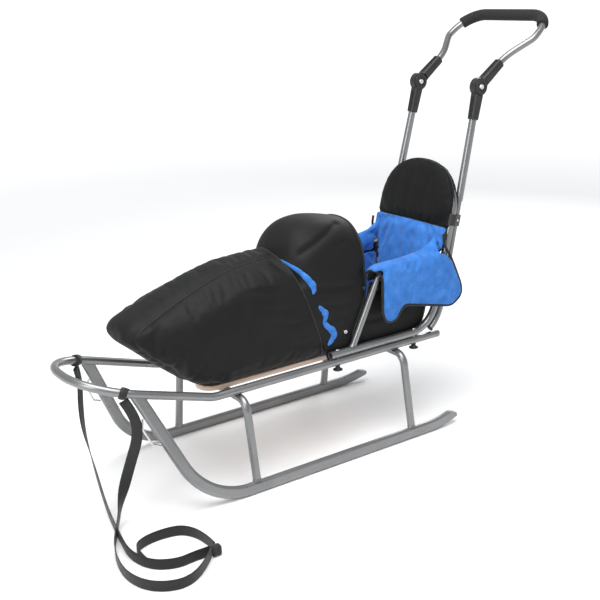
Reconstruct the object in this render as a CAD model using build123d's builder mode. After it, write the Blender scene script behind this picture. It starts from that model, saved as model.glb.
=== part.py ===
from build123d import *
from math import atan, cos, radians, sin, tan
import os

# A toddler's push and tow sled: a steel-tube frame on two runners with wooden slats, a bolt-on seat
# frame with a padded liner and footmuff, a push handle on two ratchet hinges, and a webbing strap.
# Millimetres, +X to the nose, +Y to the sled's left, +Z up. The origin is on the floor, midway
# between the nose and the back of the grip.

# ---------------------------------------------------------------- driving dimensions
fit_gap = 0.3  # between pieces that seat on each other

# base frame
tube_r = 10.0  # rail loop, bows, seat frame and upper pusher tubes
gauge = 400.0  # between the runners' centrelines on the floor
runner_height = 30.0  # flat-oval bar, on edge
runner_thick = 15.0
rail_z = 243.3  # rail centreline
rail_half = 137.0  # rail centreline from the mid-plane
bow_spacing = 482.0  # front leg bow to rear leg bow
bow_bend_r = 32.0
bow_shoulder = 27.0  # the bow's corners, outside the rails' centrelines
rail_back = 147.0  # rail end behind the rear bow
nose_bend_ahead = 70.0  # where the rails start to rise, ahead of the front bow
nose_rise = 16.8  # degrees
nose_length = 326.0  # from the bend to the nose's centreline, along the rise
nose_corner_r = 128.0
nose_bend_r = 80.0

# runners
runner_front_ahead = 136.0  # corner of the front curve, ahead of the front bow
runner_front_r = 175.0
runner_climb = 24.2  # degrees forward of upright
runner_past_rail = 62.0  # how far above the rails the bar is drawn before it is coped to the loop
runner_tail_back = 155.0  # tail behind the rear bow
tail_kick_length = 58.0
tail_kick_rise = 16.5
tail_kick_r = 300.0
tail_round = 3.0  # the closed tail's edges

# slats
slat_thick = 12.0
slat_width = 78.0
slat_gap = 12.0
slat_overhang = 62.0  # past each bow
slat_end_r = 36.0

# seat frame
seat_front_behind = 268.0  # open front ends, behind the front bow
seat_corner_behind = 600.0  # corner of the seat and back lines, behind the front bow
back_lean = 14.0  # degrees
seat_bend_r = 90.0
back_top_z = 670.0
back_corner_r = 112.0
seat_bore_r = 8.5
seat_bore_depth = 60.0
arm_r = 8.0
arm_foot_behind = 340.0
arm_slope = 26.6  # degrees from upright
arm_z = 450.0
arm_bend_r = 38.0
bolt_r = 3.0
bolt_clear = 0.2
bolt_head_r = 6.0
bolt_head = 3.0
bolts_behind = (290.0, 541.0)
knob_r = 12.5
knob_thick = 8.5
knob_flat_r = 3.0
knob_stem_r = 6.5
knob_stem = 6.0
weld_bead = 1.3  # how far the welds at the legs' and arms' feet stand out
weld_height = 5.0
end_ring = 12.0  # from a rail's end to the groove of its closing cap
end_round = 5.0
ring_width = 1.5
ring_depth = 0.8

# pusher
pusher_space = 4.0  # between the back frame's tubes and the pusher's
pusher_r = 8.0
pusher_step_z = 593.0  # where the lower legs enter the upper tubes
pusher_insert = 40.0
plug_thick = 3.5
plug_over = 0.6  # past the leg's wall
pusher_foot_angle = 52.0  # where the bent foot ends, below level
hub_z = 883.0
hub_half = 118.3
clamp_heights = (415.0, 549.0)
clamp_height = 30.0
clamp_wall = 4.0
screw_boss_r = 5.5  # the cross screw's boss, between a clamp's two tubes
screw_head_r = 3.6
screw_head_depth = 2.0

# ratchet hinges and handle
hub_r = 23.0
hub_half_thick = 12.5
hub_step = 2.0  # the hub's rim steps in by this, and again at its face
hub_step_thick = 3.0
hub_recess_r = 13.0
hub_recess = 1.2
hub_chamfer = 1.0
hinge_gap = 0.5  # between the two hub halves
arm_root = 27.0  # a housing's width at the hub
arm_end = 24.5  # and at its mouth
arm_corner_r = 8.0
arm_end_round = 3.0
flute_width = 1.6
flute_depth = 0.9
flute_pitch = 3.2
flute_count = 4
flute_inset = 5.0  # from the hub and from the mouth
rivet_inset = 24.0  # from a housing's mouth
rivet_pad_r = 6.0
lower_housing = 86.0
upper_housing = 94.0
socket_depth = 34.0
pin_r = 5.0
pin_clear = 0.06
pin_head_r = 7.0
pin_head = 2.2
handle_r = 9.0
handle_tilt = 36.8  # degrees above level, going back
handle_straight = 117.6  # from the hub to the flare
handle_flare_at = 191.4
handle_flare_half = 162.8
handle_reach = 281.9
handle_bar_half = 153.8
handle_radii = (110.0, 40.0, 74.0)
grip_r = 15.5
grip_round = 3.0
grip_wrap = 62.0  # degrees round each corner

# soft parts
panel_thick = 14.4  # the liner's sides
seat_pad_thick = 24.0
back_pad_front = 22.0  # pad faces ahead of the back frame's centreline
back_pad_back = 2.0  # pad backs behind it
headrest_over = 3.0  # past the back frame's tubes
headrest_low = 268.0  # along the back, from the seat's corner
headrest_top = 446.0
headrest_corner_r = 130.0
headrest_cover = 3.0  # its padding behind the tubes
flap_thick = 12.0
flap_clear = 1.0  # from the clamps
soft_top_round = 0.4  # corner radii, as shares of a section's width
soft_low_round = 0.12
bag_clear = 0.7  # the bag's sides, inside the liner's
bag_wall = 16.0
bag_stations = (  # ahead of the front bow, lowest and highest above the slats, in from the widest
    (252.0, 152.0, 196.0, 66.0),
    (215.0, 126.0, 220.0, 34.0),
    (160.0, 74.0, 242.0, 11.0),
    (90.0, 22.0, 262.0, 3.0),
    (0.0, 0.0, 280.0, 0.0),
    (-150.0, 0.0, 286.0, 0.0),
    (-330.0, 0.0, 286.0, 0.0),
)
hood_wall = 13.6
hood_stations = (
    (-120.0, 0.0, 290.0, 0.0),
    (-175.0, 0.0, 334.0, 0.0),
    (-250.0, 0.0, 362.0, 0.0),
    (-330.0, 0.0, 358.0, 0.0),
    (-412.0, 0.0, 330.0, 0.0),
)
mouth_top = (-155.0, 284.0)  # the bag's slanted mouth: ahead of the front bow, above the slats
mouth_low = (-305.0, 16.0)
hood_rear = 400.0  # back edge, behind the front bow
hood_side_rear = 345.0  # back edge beside the legs, under the arms

# tow strap, as a round tube of the webbing's own section: 25 mm by 2 mm
strap_r = 4.0
strap_width = 25.0
strap_band = 2.5
strap_turn = 15.0  # where it is tied, in degrees round the nose's corner
joint_size = (22.0, 18.0, 25.0)  # the piece that the three straps are sewn into
joint_at = (221.0, 380.0)
strap_left = (  # ahead of the front bow, left of the middle, above the floor
    (294.2, 133.8, 294.6),
    (274.0, 149.0, 254.0),
    (274.0, 147.0, 202.0),
    (285.0, 126.0, 144.0),
    (303.0, 117.0, 84.0),
    (321.0, 124.0, 44.0),
    (336.0, 143.0, 19.0),
    (359.0, 180.0, 14.0),
    (386.0, 228.0, 5.0),
    (407.0, 284.0, 4.0),
    (417.0, 347.0, 4.0),
    (404.0, 403.0, 4.0),
    (371.0, 438.0, 4.0),
    (326.0, 451.0, 4.0),
    (274.0, 424.0, 4.0),
    (235.2, 384.0, 4.0),
)
strap_right = (
    (294.2, -133.8, 294.8),
    (281.0, -148.0, 250.0),
    (290.0, -139.0, 196.0),
    (302.0, -107.0, 139.0),
    (309.0, -50.0, 83.0),
    (318.0, 9.0, 32.0),
    (332.0, 72.0, 7.0),
    (346.0, 129.0, 4.0),
    (364.0, 212.0, 4.0),
    (377.0, 287.0, 4.0),
    (358.0, 348.0, 4.0),
    (311.0, 377.0, 4.0),
    (267.0, 373.0, 4.0),
    (232.8, 375.5, 4.0),
)
strap_loop = (
    (217.0, 370.3, 4.0),
    (213.0, 318.0, 4.0),
    (233.0, 263.0, 4.0),
    (275.0, 250.0, 4.0),
    (325.0, 252.0, 4.0),
    (356.0, 270.0, 5.0),
    (361.0, 305.0, 8.8),
    (360.5, 333.0, 12.6),
)

# ---------------------------------------------------------------- derived places
lean = radians(back_lean)
rise = radians(nose_rise)
tilt = radians(handle_tilt)
climb = tan(radians(runner_climb))
runner_rise = rail_z + tan(rise) * (runner_front_ahead - nose_bend_ahead) - runner_height / 2
runner_meets = runner_rise / (1 - tan(rise) * climb)  # above its centreline, under the loop's sides
runner_lean = atan((gauge / 2 - rail_half) / runner_meets)
seat_z = rail_z + 2 * tube_r + fit_gap
pusher_gap = 2 * tube_r + pusher_space  # its centreline behind the back frame's
hub_behind = seat_corner_behind + pusher_gap / cos(lean) + tan(lean) * (hub_z - seat_z)
nose_ahead = nose_bend_ahead + nose_length * cos(rise)
front_x = (hub_behind + handle_reach * cos(tilt) + grip_r - nose_ahead - tube_r) / 2
rear_x = front_x - bow_spacing
hub_x = front_x - hub_behind
seat_corner_x = front_x - seat_corner_behind
bow_z = rail_z - 2 * tube_r - fit_gap
slat_z = bow_z + tube_r + fit_gap  # the slats' underside
slat_top = slat_z + slat_thick
soft_z = slat_top + fit_gap  # the undersides of the pads and of the bag
nose_plane = Plane(
    origin=(front_x + nose_bend_ahead, 0, rail_z),
    x_dir=(cos(rise), 0, sin(rise)),
    z_dir=(-sin(rise), 0, cos(rise)),
)
runner_axis_z = (runner_height - runner_thick) / 2 * cos(runner_lean) + runner_thick / 2
runner_top = 2 * runner_axis_z
panel_half = rail_half - tube_r - fit_gap  # the side panels' outer faces, inside the tubes
liner_half = panel_half - panel_thick - fit_gap  # the pads' half-width, inside the side panels
bag_half = panel_half - bag_clear
headrest_half = rail_half + tube_r + headrest_over
headrest_back = tube_r + headrest_cover
sides = (("left", 1), ("right", -1))
spot_align = (Align.CENTER, Align.CENTER, Align.MIN)

os.makedirs("parts", exist_ok=True)


def save(part, name):
    part.label = name
    export_step(part, f"parts/{name}.step")
    return part


def sweep_round(points, radii, radius):
    """A round bar along straight runs joined by tangent arcs."""
    with BuildPart() as bar:
        with BuildLine() as path:
            FilletPolyline(*points, radius=radii)
        with BuildSketch(Plane(origin=path.line @ 0, z_dir=path.line % 0)):
            Circle(radius)
        sweep(path=path.line)
    return bar.part


def make_bead(foot, along, radius):
    """A weld's bead: a short cone round a bar's foot, centred where the bar lands."""
    low = Plane(foot - along * weld_height, z_dir=along)
    with BuildPart() as bead:
        with BuildSketch(low):
            Circle(radius + 2 * weld_bead)
        with BuildSketch(low.offset(2 * weld_height)):
            Circle(radius)
        loft()
    return bead.part


def back_line(z):
    """The X of the back frame's centreline at a height."""
    return seat_corner_x - tan(lean) * (z - seat_z)


def pusher_line(z):
    """The X of the pusher's centreline at a height."""
    return back_line(z) - pusher_gap / cos(lean)


def pusher_half(z):
    """The pusher legs close from the rails' width to the hinges' as they climb."""
    return rail_half + (hub_half - rail_half) * (z - seat_z) / (hub_z - seat_z)


def pusher_point(z, side):
    return Vector(pusher_line(z), side * pusher_half(z), z)


# ---------------------------------------------------------------- base frame
def rail_path():
    tip = nose_plane.from_local_coords
    side_back = (rear_x - rail_back, rail_half, rail_z)
    bend = (front_x + nose_bend_ahead, rail_half, rail_z)
    corner = tip((nose_length, rail_half, 0))
    return (
        [side_back, bend, corner]
        + [(v[0], -v[1], v[2]) for v in (tuple(corner), bend, side_back)],
        [nose_bend_r, nose_corner_r, nose_corner_r, nose_bend_r],
    )


def make_rail_loop():
    with BuildPart() as loop:
        add(sweep_round(*rail_path(), tube_r))
        for behind in bolts_behind:
            with Locations((front_x - behind, rail_half, rail_z), (front_x - behind, -rail_half, rail_z)):
                Cylinder(bolt_r + bolt_clear, 4 * tube_r, mode=Mode.SUBTRACT)
        fillet(loop.faces().filter_by(Axis.X).edges(), end_round)
        for _, side in sides:
            ring = Plane((rear_x - rail_back + end_ring, side * rail_half, rail_z), z_dir=(1, 0, 0))
            with BuildSketch(ring):
                Circle(tube_r + 1)
                Circle(tube_r - ring_depth, mode=Mode.SUBTRACT)
            extrude(amount=ring_width, mode=Mode.SUBTRACT)
    return loop.part


def make_runner(side):
    """A flat-oval bar bent in one plane, which leans inward to meet the rail loop from below."""
    inward = tan(runner_lean)
    climb_z = rail_z + runner_past_rail

    def at(x, z):
        return (x, side * (gauge / 2 - inward * (z - runner_axis_z)), z)

    corner_x = front_x + runner_front_ahead
    tail_x = rear_x - runner_tail_back
    points = [
        at(tail_x, runner_axis_z + tail_kick_rise),
        at(tail_x + tail_kick_length, runner_axis_z),
        at(corner_x, runner_axis_z),
        at(corner_x + climb * (climb_z - runner_axis_z), climb_z),
    ]
    plane_normal = Vector(0, 1, side * inward).normalized()
    with BuildPart() as runner:
        with BuildLine() as path:
            FilletPolyline(*points, radius=[tail_kick_r, runner_front_r])
        start = path.line % 0
        with BuildSketch(Plane(origin=path.line @ 0, x_dir=plane_normal.cross(start), z_dir=start)):
            SlotOverall(runner_height, runner_thick)
        sweep(path=path.line)
        add(sweep_round(*rail_path(), tube_r + fit_gap), mode=Mode.SUBTRACT)
        split(bisect_by=Plane(nose_plane.origin, z_dir=nose_plane.z_dir), keep=Keep.BOTTOM)
        fillet(runner.faces().sort_by(Axis.X)[0].edges(), tail_round)
    return runner.part


def make_bow(x):
    """An inverted U under the rails, with a foot on each runner."""
    foot_half = gauge / 2 - tan(runner_lean) * (runner_top - runner_axis_z)
    foot_z = runner_top + fit_gap
    corner = rail_half + bow_shoulder
    splay = (foot_half - corner) / (bow_z - foot_z)
    below = tube_r
    points = [
        (x, foot_half + splay * below, foot_z - below),
        (x, corner, bow_z),
        (x, -corner, bow_z),
        (x, -foot_half - splay * below, foot_z - below),
    ]
    with BuildPart() as bow:
        add(sweep_round(points, [bow_bend_r, bow_bend_r], tube_r))
        for _, side in sides:
            up = Vector(0, -side * splay, 1).normalized()
            add(make_bead(Vector(x, side * foot_half, foot_z), up, tube_r))
        split(bisect_by=Plane.XY.offset(foot_z), keep=Keep.TOP)
    return bow.part


def make_slat(side):
    length = bow_spacing + 2 * slat_overhang
    with BuildPart() as slat:
        with BuildSketch(Plane.XY.offset(slat_z)):
            with Locations(((front_x + rear_x) / 2, side * (slat_gap + slat_width) / 2)):
                RectangleRounded(length, slat_width, slat_end_r)
        extrude(amount=slat_thick)
        fillet(slat.faces().sort_by(Axis.Z)[-1].edges(), 2.5)
    return slat.part


def make_eyelet(side):
    """A wire staple on the front edge of a runner, for the tow strap."""
    wire_r, low, high, out = 2.5, 176.0, 246.0, 17.0
    inward = tan(runner_lean)
    face = runner_height / 2 / cos(radians(runner_climb)) + fit_gap

    def at(z, ahead):
        x = front_x + runner_front_ahead + climb * (z - runner_axis_z) + face + ahead
        return (x, side * (gauge / 2 - inward * (z - runner_axis_z)), z)

    points = [at(low, wire_r), at(low + 8, out), at(high - 22, out), at(high, wire_r)]
    return sweep_round(points, [6.0, 6.0], wire_r)


# ---------------------------------------------------------------- seat frame
def seat_frame_path():
    front = front_x - seat_front_behind
    left = [
        (front, rail_half, seat_z),
        (seat_corner_x, rail_half, seat_z),
        (back_line(back_top_z), rail_half, back_top_z),
    ]
    right = [(x, -y, z) for x, y, z in reversed(left)]
    return left + right, [seat_bend_r, back_corner_r, back_corner_r, seat_bend_r]


def make_seat_frame():
    """One tube: the two seat sides, which bend up into the back's arch."""
    front = front_x - seat_front_behind
    with BuildPart() as frame:
        add(sweep_round(*seat_frame_path(), tube_r))
        with Locations(*[Plane((front, s * rail_half, seat_z), z_dir=(1, 0, 0)) for _, s in sides]):
            Cylinder(seat_bore_r, 2 * seat_bore_depth, mode=Mode.SUBTRACT)
        for behind in bolts_behind:
            with Locations(*[(front_x - behind, s * rail_half, seat_z) for _, s in sides]):
                Cylinder(bolt_r + bolt_clear, 4 * tube_r, mode=Mode.SUBTRACT)
            with Locations(*[(front_x - behind, s * rail_half, seat_z + tube_r) for _, s in sides]):
                Cylinder(bolt_head_r + fit_gap, tube_r, align=spot_align, mode=Mode.SUBTRACT)
    return frame.part


def make_arm(side):
    """An armrest tube, from the seat tube up and back to the back frame."""
    foot_z = seat_z + tube_r + fit_gap
    foot_x = front_x - arm_foot_behind
    y = side * rail_half
    below = 2 * arm_r
    slope = tan(radians(arm_slope))
    end_x = back_line(arm_z) + (tube_r + fit_gap) / cos(lean)
    points = [
        (foot_x + slope * below, y, foot_z - below),
        (foot_x - slope * (arm_z - foot_z), y, arm_z),
        (end_x - arm_r, y, arm_z),
    ]
    back_face = Plane((end_x, y, arm_z), z_dir=(cos(lean), 0, sin(lean)))
    up = Vector(-slope, 0, 1).normalized()
    with BuildPart() as arm:
        add(sweep_round(points, [arm_bend_r], arm_r))
        add(make_bead(Vector(foot_x, y, foot_z), up, arm_r))
        split(bisect_by=Plane.XY.offset(foot_z), keep=Keep.TOP)
        split(bisect_by=back_face, keep=Keep.TOP)
    return arm.part


def make_bolt(behind, side):
    """A domed carriage bolt, down through the seat tube and the rail."""
    top = seat_z + tube_r
    x, y = front_x - behind, side * rail_half
    low = rail_z - tube_r - knob_stem
    with BuildPart() as bolt:
        with Locations((x, y, (top + low) / 2)):
            Cylinder(bolt_r, top - low + 2)
        with BuildSketch(Plane.XY.offset(top + fit_gap).move(Location((x, y, 0)))):
            Circle(bolt_head_r)
        extrude(amount=bolt_head, taper=30)
    return bolt.part


def make_knob(behind, side):
    """A black mushroom knob, screwed up under the rail: a waisted stem over a domed grip."""
    x, y = front_x - behind, side * rail_half
    top = rail_z - tube_r - fit_gap
    low = -knob_stem - knob_thick
    with BuildPart() as knob:
        with BuildSketch(Plane((x, y, top), x_dir=(1, 0, 0), z_dir=(0, -1, 0))):
            with BuildLine():
                Line((0, 0), (knob_stem_r, 0))
                Line((knob_stem_r, 0), (knob_stem_r - 1, -2))
                ThreePointArc(
                    (knob_stem_r - 1, -2),
                    (knob_stem_r, -knob_stem + 0.5),
                    (knob_r - 1, low + knob_thick / 2 + 1),
                )
                ThreePointArc(
                    (knob_r - 1, low + knob_thick / 2 + 1),
                    (knob_r, low + knob_thick / 2 - 0.5),
                    (knob_r - 1.5, low + knob_thick / 2 - 2),
                )
                ThreePointArc(
                    (knob_r - 1.5, low + knob_thick / 2 - 2),
                    (knob_r * 0.6, low + 0.6),
                    (knob_flat_r, low),
                )
                Line((knob_flat_r, low), (0, low))
                Line((0, low), (0, 0))
            make_face()
        revolve(axis=Axis((x, y, 0), (0, 0, 1)))
        with Locations((x, y, top)):
            Cylinder(bolt_r + bolt_clear, 2 * (knob_stem + 3), mode=Mode.SUBTRACT)
    return knob.part


# ---------------------------------------------------------------- pusher
def pusher_foot(side):
    """The leg's end and corner: its bent foot follows the seat frame's bend down to the rail."""
    centre_x = seat_corner_x + seat_bend_r * tan((radians(90) - lean) / 2)
    centre_z = seat_z + seat_bend_r
    reach = seat_bend_r + pusher_gap
    angle = radians(pusher_foot_angle)
    end = Vector(centre_x - reach * cos(angle), side * rail_half, centre_z - reach * sin(angle))
    run = (pusher_line(end.Z) - end.X) / (tan(lean) * cos(angle) - sin(angle))
    return end, pusher_point(end.Z + cos(angle) * run, side), reach


def make_pusher_leg(side):
    """The lower leg: a bent foot on the rail's end and a straight run up into the upper tube."""
    end, corner, reach = pusher_foot(side)
    top = pusher_point(pusher_step_z + pusher_insert, side)
    return sweep_round([end, corner, top], [0.97 * reach], pusher_r)


def make_pusher_plug(side):
    """A black end cap on the bent foot."""
    end, corner, _ = pusher_foot(side)
    down = (end - corner).normalized()
    with BuildPart() as plug:
        with BuildSketch(Plane(end + down * fit_gap, z_dir=down)):
            Circle(pusher_r + plug_over)
        extrude(amount=plug_thick)
        fillet(plug.faces().sort_by(Axis.Z)[0].edges(), 1.2)
    return plug.part


def pusher_axis(side):
    return (pusher_point(hub_z, side) - pusher_point(seat_z, side)).normalized()


def make_pusher_tube(side):
    """The upper tube, bored for the leg and let into the hinge's lower housing."""
    along = pusher_axis(side)
    low = pusher_point(pusher_step_z, side)
    high = pusher_point(hub_z, side) - along * (lower_housing - socket_depth + 1)
    with BuildPart() as tube:
        with BuildSketch(Plane(low, z_dir=along)):
            Circle(tube_r)
        extrude(amount=(high - low).length)
        with BuildSketch(Plane(low, z_dir=along)):
            Circle(pusher_r + fit_gap)
        extrude(amount=pusher_insert + 4, mode=Mode.SUBTRACT)
    return tube.part


def make_clamp_block(height, side, grown):
    """The clamp's outer form, round the back frame and the pusher's leg, with its screw's boss."""
    plane = Plane(
        (back_line(height), side * rail_half, height),
        x_dir=(cos(lean), 0, sin(lean)),
        z_dir=(-sin(lean), 0, cos(lean)),
    )
    behind = plane.to_local_coords(pusher_point(height - pusher_gap * sin(lean), side))
    web = plane.from_local_coords(((pusher_r - tube_r - pusher_gap) / 2, behind.Y / 2, 0))
    across = Plane(web, x_dir=plane.x_dir, z_dir=(0, side, 0))
    half_wide = tube_r + clamp_wall + grown
    with BuildPart() as block:
        with BuildSketch(plane.offset(-clamp_height / 2 - grown)):
            Circle(half_wide)
            with Locations((behind.X, behind.Y)):
                Circle(pusher_r + clamp_wall + grown)
            make_hull()
        extrude(amount=clamp_height + 2 * grown)
        with BuildSketch(across):
            Circle(screw_boss_r + grown)
        extrude(amount=half_wide, both=True)
    return block.part, plane, across


def make_clamp(height, side):
    """A black block that holds the pusher's leg behind the back frame, on one cross screw."""
    block, plane, across = make_clamp_block(height, side, 0)
    behind = pusher_point(height - pusher_gap * sin(lean), side)
    with BuildPart() as clamp:
        add(block)
        with BuildSketch(plane.offset(-clamp_height)):
            Circle(tube_r + fit_gap)
        extrude(amount=2 * clamp_height, mode=Mode.SUBTRACT)
        with BuildSketch(Plane(behind, z_dir=pusher_axis(side)).offset(-clamp_height)):
            Circle(pusher_r + fit_gap)
        extrude(amount=2 * clamp_height, mode=Mode.SUBTRACT)
        with BuildSketch(across.offset(tube_r + clamp_wall)):
            Circle(screw_head_r)
        extrude(amount=-screw_head_depth, mode=Mode.SUBTRACT)
    return clamp.part


# ---------------------------------------------------------------- ratchet hinges
def make_hub_disc(across):
    """Half of the hinge's drum: a thick disc with a stepped rim and a recess for the pin's button."""
    with BuildPart() as disc:
        with BuildSketch(across.offset(hinge_gap / 2)):
            Circle(hub_r)
        extrude(amount=hub_half_thick - hub_step_thick - hinge_gap / 2)
        with BuildSketch(across.offset(hub_half_thick - hub_step_thick)):
            Circle(hub_r - hub_step)
        extrude(amount=hub_step_thick)
        rims = disc.edges().filter_by(GeomType.CIRCLE).group_by(Axis(across.origin, across.z_dir))
        chamfer(rims[-1], hub_chamfer)
        with BuildSketch(across.offset(hub_half_thick - hub_recess)):
            Circle(hub_recess_r)
        extrude(amount=2 * hub_recess, mode=Mode.SUBTRACT)
    return disc.part


def make_housing(side, along, length, half, bore_r):
    """One moulded housing: a hub disc on one side of the seam, and a socketed, ribbed arm.

    half is +1 for the disc on the sled's outer side and -1 for the inner one.
    """
    hub = Vector(hub_x, side * hub_half, hub_z)
    across = Plane(hub, x_dir=(1, 0, 0), z_dir=(0, side * half, 0))
    arm = Plane(hub, x_dir=(0, 1, 0), z_dir=along)
    narrowing = (arm_root - arm_end) / 2 / (length - hub_r)
    with BuildPart() as housing:
        # the arm, which narrows to its mouth
        with BuildSketch(arm.offset(hub_r)):
            RectangleRounded(arm_root, arm_root, arm_corner_r)
        with BuildSketch(arm.offset(length)):
            RectangleRounded(arm_end, arm_end, arm_corner_r)
        loft()
        fillet(housing.faces().sort_by(Axis(hub, along))[-1].edges(), arm_end_round)
        with BuildSketch(arm.offset(hub_r / 2)):
            RectangleRounded(arm_root, arm_root, arm_corner_r)
        extrude(amount=hub_r / 2)
        # flutes down its front and back
        for face in (1, -1):
            start = hub + along * (hub_r + flute_inset) + arm.y_dir * (face * arm_root / 2)
            down = along - arm.y_dir * (face * narrowing)
            with BuildSketch(Plane(start, x_dir=(0, 1, 0), z_dir=down)):
                with GridLocations(flute_pitch, 0, flute_count, 1):
                    Rectangle(flute_width, 2 * flute_depth)
            extrude(amount=length - hub_r - 2 * flute_inset, mode=Mode.SUBTRACT)
        # a raised pad at the rivet, on both sides
        with BuildSketch(Plane(hub + along * (length - rivet_inset), z_dir=(0, 1, 0))):
            Circle(rivet_pad_r)
        extrude(amount=arm_root / 2, both=True)
        # room for the other half's disc, then its own
        with BuildSketch(across.offset(hinge_gap / 2)):
            Circle(hub_r + hinge_gap)
        extrude(amount=-arm_root, mode=Mode.SUBTRACT)
        with BuildSketch(across.offset(hub_half_thick)):
            Circle(hub_r - hub_step)
        extrude(amount=arm_root, mode=Mode.SUBTRACT)
        add(make_hub_disc(across))
        with BuildSketch(across):
            Circle(pin_r + pin_clear)
        extrude(amount=arm_root, mode=Mode.SUBTRACT)
        with BuildSketch(arm.offset(length - socket_depth)):
            Circle(bore_r + fit_gap)
        extrude(amount=socket_depth + 5, mode=Mode.SUBTRACT)
    return housing.part


def make_hinge_pin(side):
    """The hinge's pin, with a round button sunk in each face."""
    half_long = hub_half_thick - hub_recess + fit_gap
    with BuildPart() as pin:
        with Locations(Location((hub_x, side * hub_half, hub_z), (90, 0, 0))):
            Cylinder(pin_r, 2 * half_long)
        for way in (1, -1):
            face = Plane((hub_x, side * hub_half + way * half_long, hub_z), z_dir=(0, way, 0))
            with BuildSketch(face):
                Circle(pin_head_r)
            extrude(amount=pin_head, taper=25)
    return pin.part


# ---------------------------------------------------------------- handle
handle_way = Vector(-cos(tilt), 0, sin(tilt))
handle_plane = Plane((hub_x, 0, hub_z), x_dir=handle_way, z_dir=(-sin(tilt), 0, -cos(tilt)))


def make_handle_bar():
    half = [
        (upper_housing - socket_depth + 1, hub_half),
        (handle_straight, hub_half),
        (handle_flare_at, handle_flare_half),
        (handle_reach, handle_bar_half),
    ]
    outline = half + [(x, -y) for x, y in reversed(half)]
    points = [handle_plane.from_local_coords((x, y, 0)) for x, y in outline]
    return sweep_round(points, [*handle_radii, *reversed(handle_radii)], handle_r)


def make_grip():
    """Foam over the handle's bar and most of the way round its corners."""
    corner_r = handle_radii[2]
    turn = radians(90) - atan((handle_flare_half - handle_bar_half) / (handle_reach - handle_flare_at))
    straight = handle_bar_half - corner_r * tan(turn / 2)
    with BuildPart() as grip:
        with BuildLine(handle_plane) as path:
            middle = Line((handle_reach, -straight), (handle_reach, straight))
            JernArc(middle @ 1, (0, 1), corner_r, grip_wrap)
            JernArc(middle @ 0, (0, -1), corner_r, -grip_wrap)
        start = path.wires()[0]
        with BuildSketch(Plane(origin=start @ 0, z_dir=start % 0)):
            Circle(grip_r)
            Circle(handle_r + fit_gap, mode=Mode.SUBTRACT)
        sweep(path=start)
        ends = grip.faces().filter_by(GeomType.PLANE)
        fillet([rim for face in ends for rim in face.outer_wire().edges()], grip_round)
    return grip.part


# ---------------------------------------------------------------- soft parts
back_plane = Plane((seat_corner_x, 0, seat_z), x_dir=(0, 1, 0), z_dir=(cos(lean), 0, sin(lean)))
mouth_way = Vector(mouth_top[0] - mouth_low[0], 0, mouth_top[1] - mouth_low[1]).normalized()
mouth_plane = Plane(
    (front_x + mouth_low[0], 0, soft_z + mouth_low[1]),
    x_dir=(0, 1, 0),
    z_dir=(mouth_way.Z, 0, -mouth_way.X),
)
armrest_top = arm_z + arm_r + fit_gap


def sided(part, side):
    """A piece modelled on the left, or its mirror image for the right."""
    return part if side > 0 else mirror(part, about=Plane.XZ)


def loft_soft(stations, wall, below):
    """A closed soft form through sections that are round above and flatter below."""
    with BuildPart() as form:
        for ahead, low, high, narrower in stations:
            height = high - low - 2 * wall + below
            width = 2 * (bag_half - narrower - wall)
            middle = (front_x + ahead, 0, soft_z + (low + high - below) / 2)
            with BuildSketch(Plane(middle, x_dir=(0, 1, 0), z_dir=(1, 0, 0))) as section:
                Rectangle(width, height)
                corners = section.vertices().group_by(Axis.Y)
                fillet(corners[-1], soft_top_round * min(width, height))
                fillet(corners[0], soft_low_round * min(width, height))
        loft(ruled=True)
    return form.part


def make_footmuff():
    """The bag: a closed toe that rises ahead of the slats, and a slanted open mouth."""
    inner = [(ahead - bag_wall if ahead > 0 else ahead, low, high, narrower)
             for ahead, low, high, narrower in bag_stations[1:]]
    with BuildPart() as bag:
        add(loft_soft(bag_stations, 0, 0))
        add(loft_soft(inner, bag_wall, 0), mode=Mode.SUBTRACT)
        split(bisect_by=mouth_plane, keep=Keep.TOP)
    return bag.part


def make_hood():
    """The bag's raised upper part, which arches over the seat behind the mouth."""
    skirt = soft_low_round * 2 * bag_half  # its sides go straight down, so their round is cut away
    with BuildPart() as hood:
        add(loft_soft(hood_stations, 0, skirt))
        add(loft_soft(hood_stations, hood_wall, 2 * skirt), mode=Mode.SUBTRACT)
        split(bisect_by=Plane.XY.offset(soft_z), keep=Keep.TOP)
        split(bisect_by=mouth_plane.offset(-fit_gap), keep=Keep.BOTTOM)
        split(bisect_by=Plane((front_x - hood_rear, 0, 0), z_dir=(1, 0, 0)), keep=Keep.TOP)
        with BuildSketch(Plane.XZ.offset(-2 * rail_half)):
            with Locations((front_x - hood_side_rear, armrest_top)):
                Rectangle(2 * hood_rear, 2 * armrest_top, align=(Align.MAX, Align.MAX))
        extrude(amount=4 * rail_half, mode=Mode.SUBTRACT)
    return hood.part


def make_seat_pad():
    mouth_back = mouth_low[1] * mouth_way.X / mouth_way.Z
    front = front_x + mouth_low[0] - mouth_back - fit_gap
    rear = seat_corner_x + back_pad_front
    with BuildPart() as seat:
        with BuildSketch(Plane.XY.offset(soft_z)):
            with Locations(((front + rear) / 2, 0)):
                RectangleRounded(front - rear, 2 * liner_half, 12)
        extrude(amount=seat_pad_thick)
        fillet(seat.faces().sort_by(Axis.Z)[-1].edges(), 7)
    return seat.part


def make_back_pad():
    low = (slat_top + seat_pad_thick - seat_z) / cos(lean) + 2 * fit_gap
    high = headrest_low - fit_gap
    with BuildPart() as back:
        with BuildSketch(back_plane.offset(-back_pad_back)):
            with Locations((0, (low + high) / 2)):
                RectangleRounded(2 * liner_half, high - low, 12)
        extrude(amount=back_pad_front + back_pad_back)
        fillet(back.faces().sort_by(Axis.X)[-1].edges(), 7)
    return back.part


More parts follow.
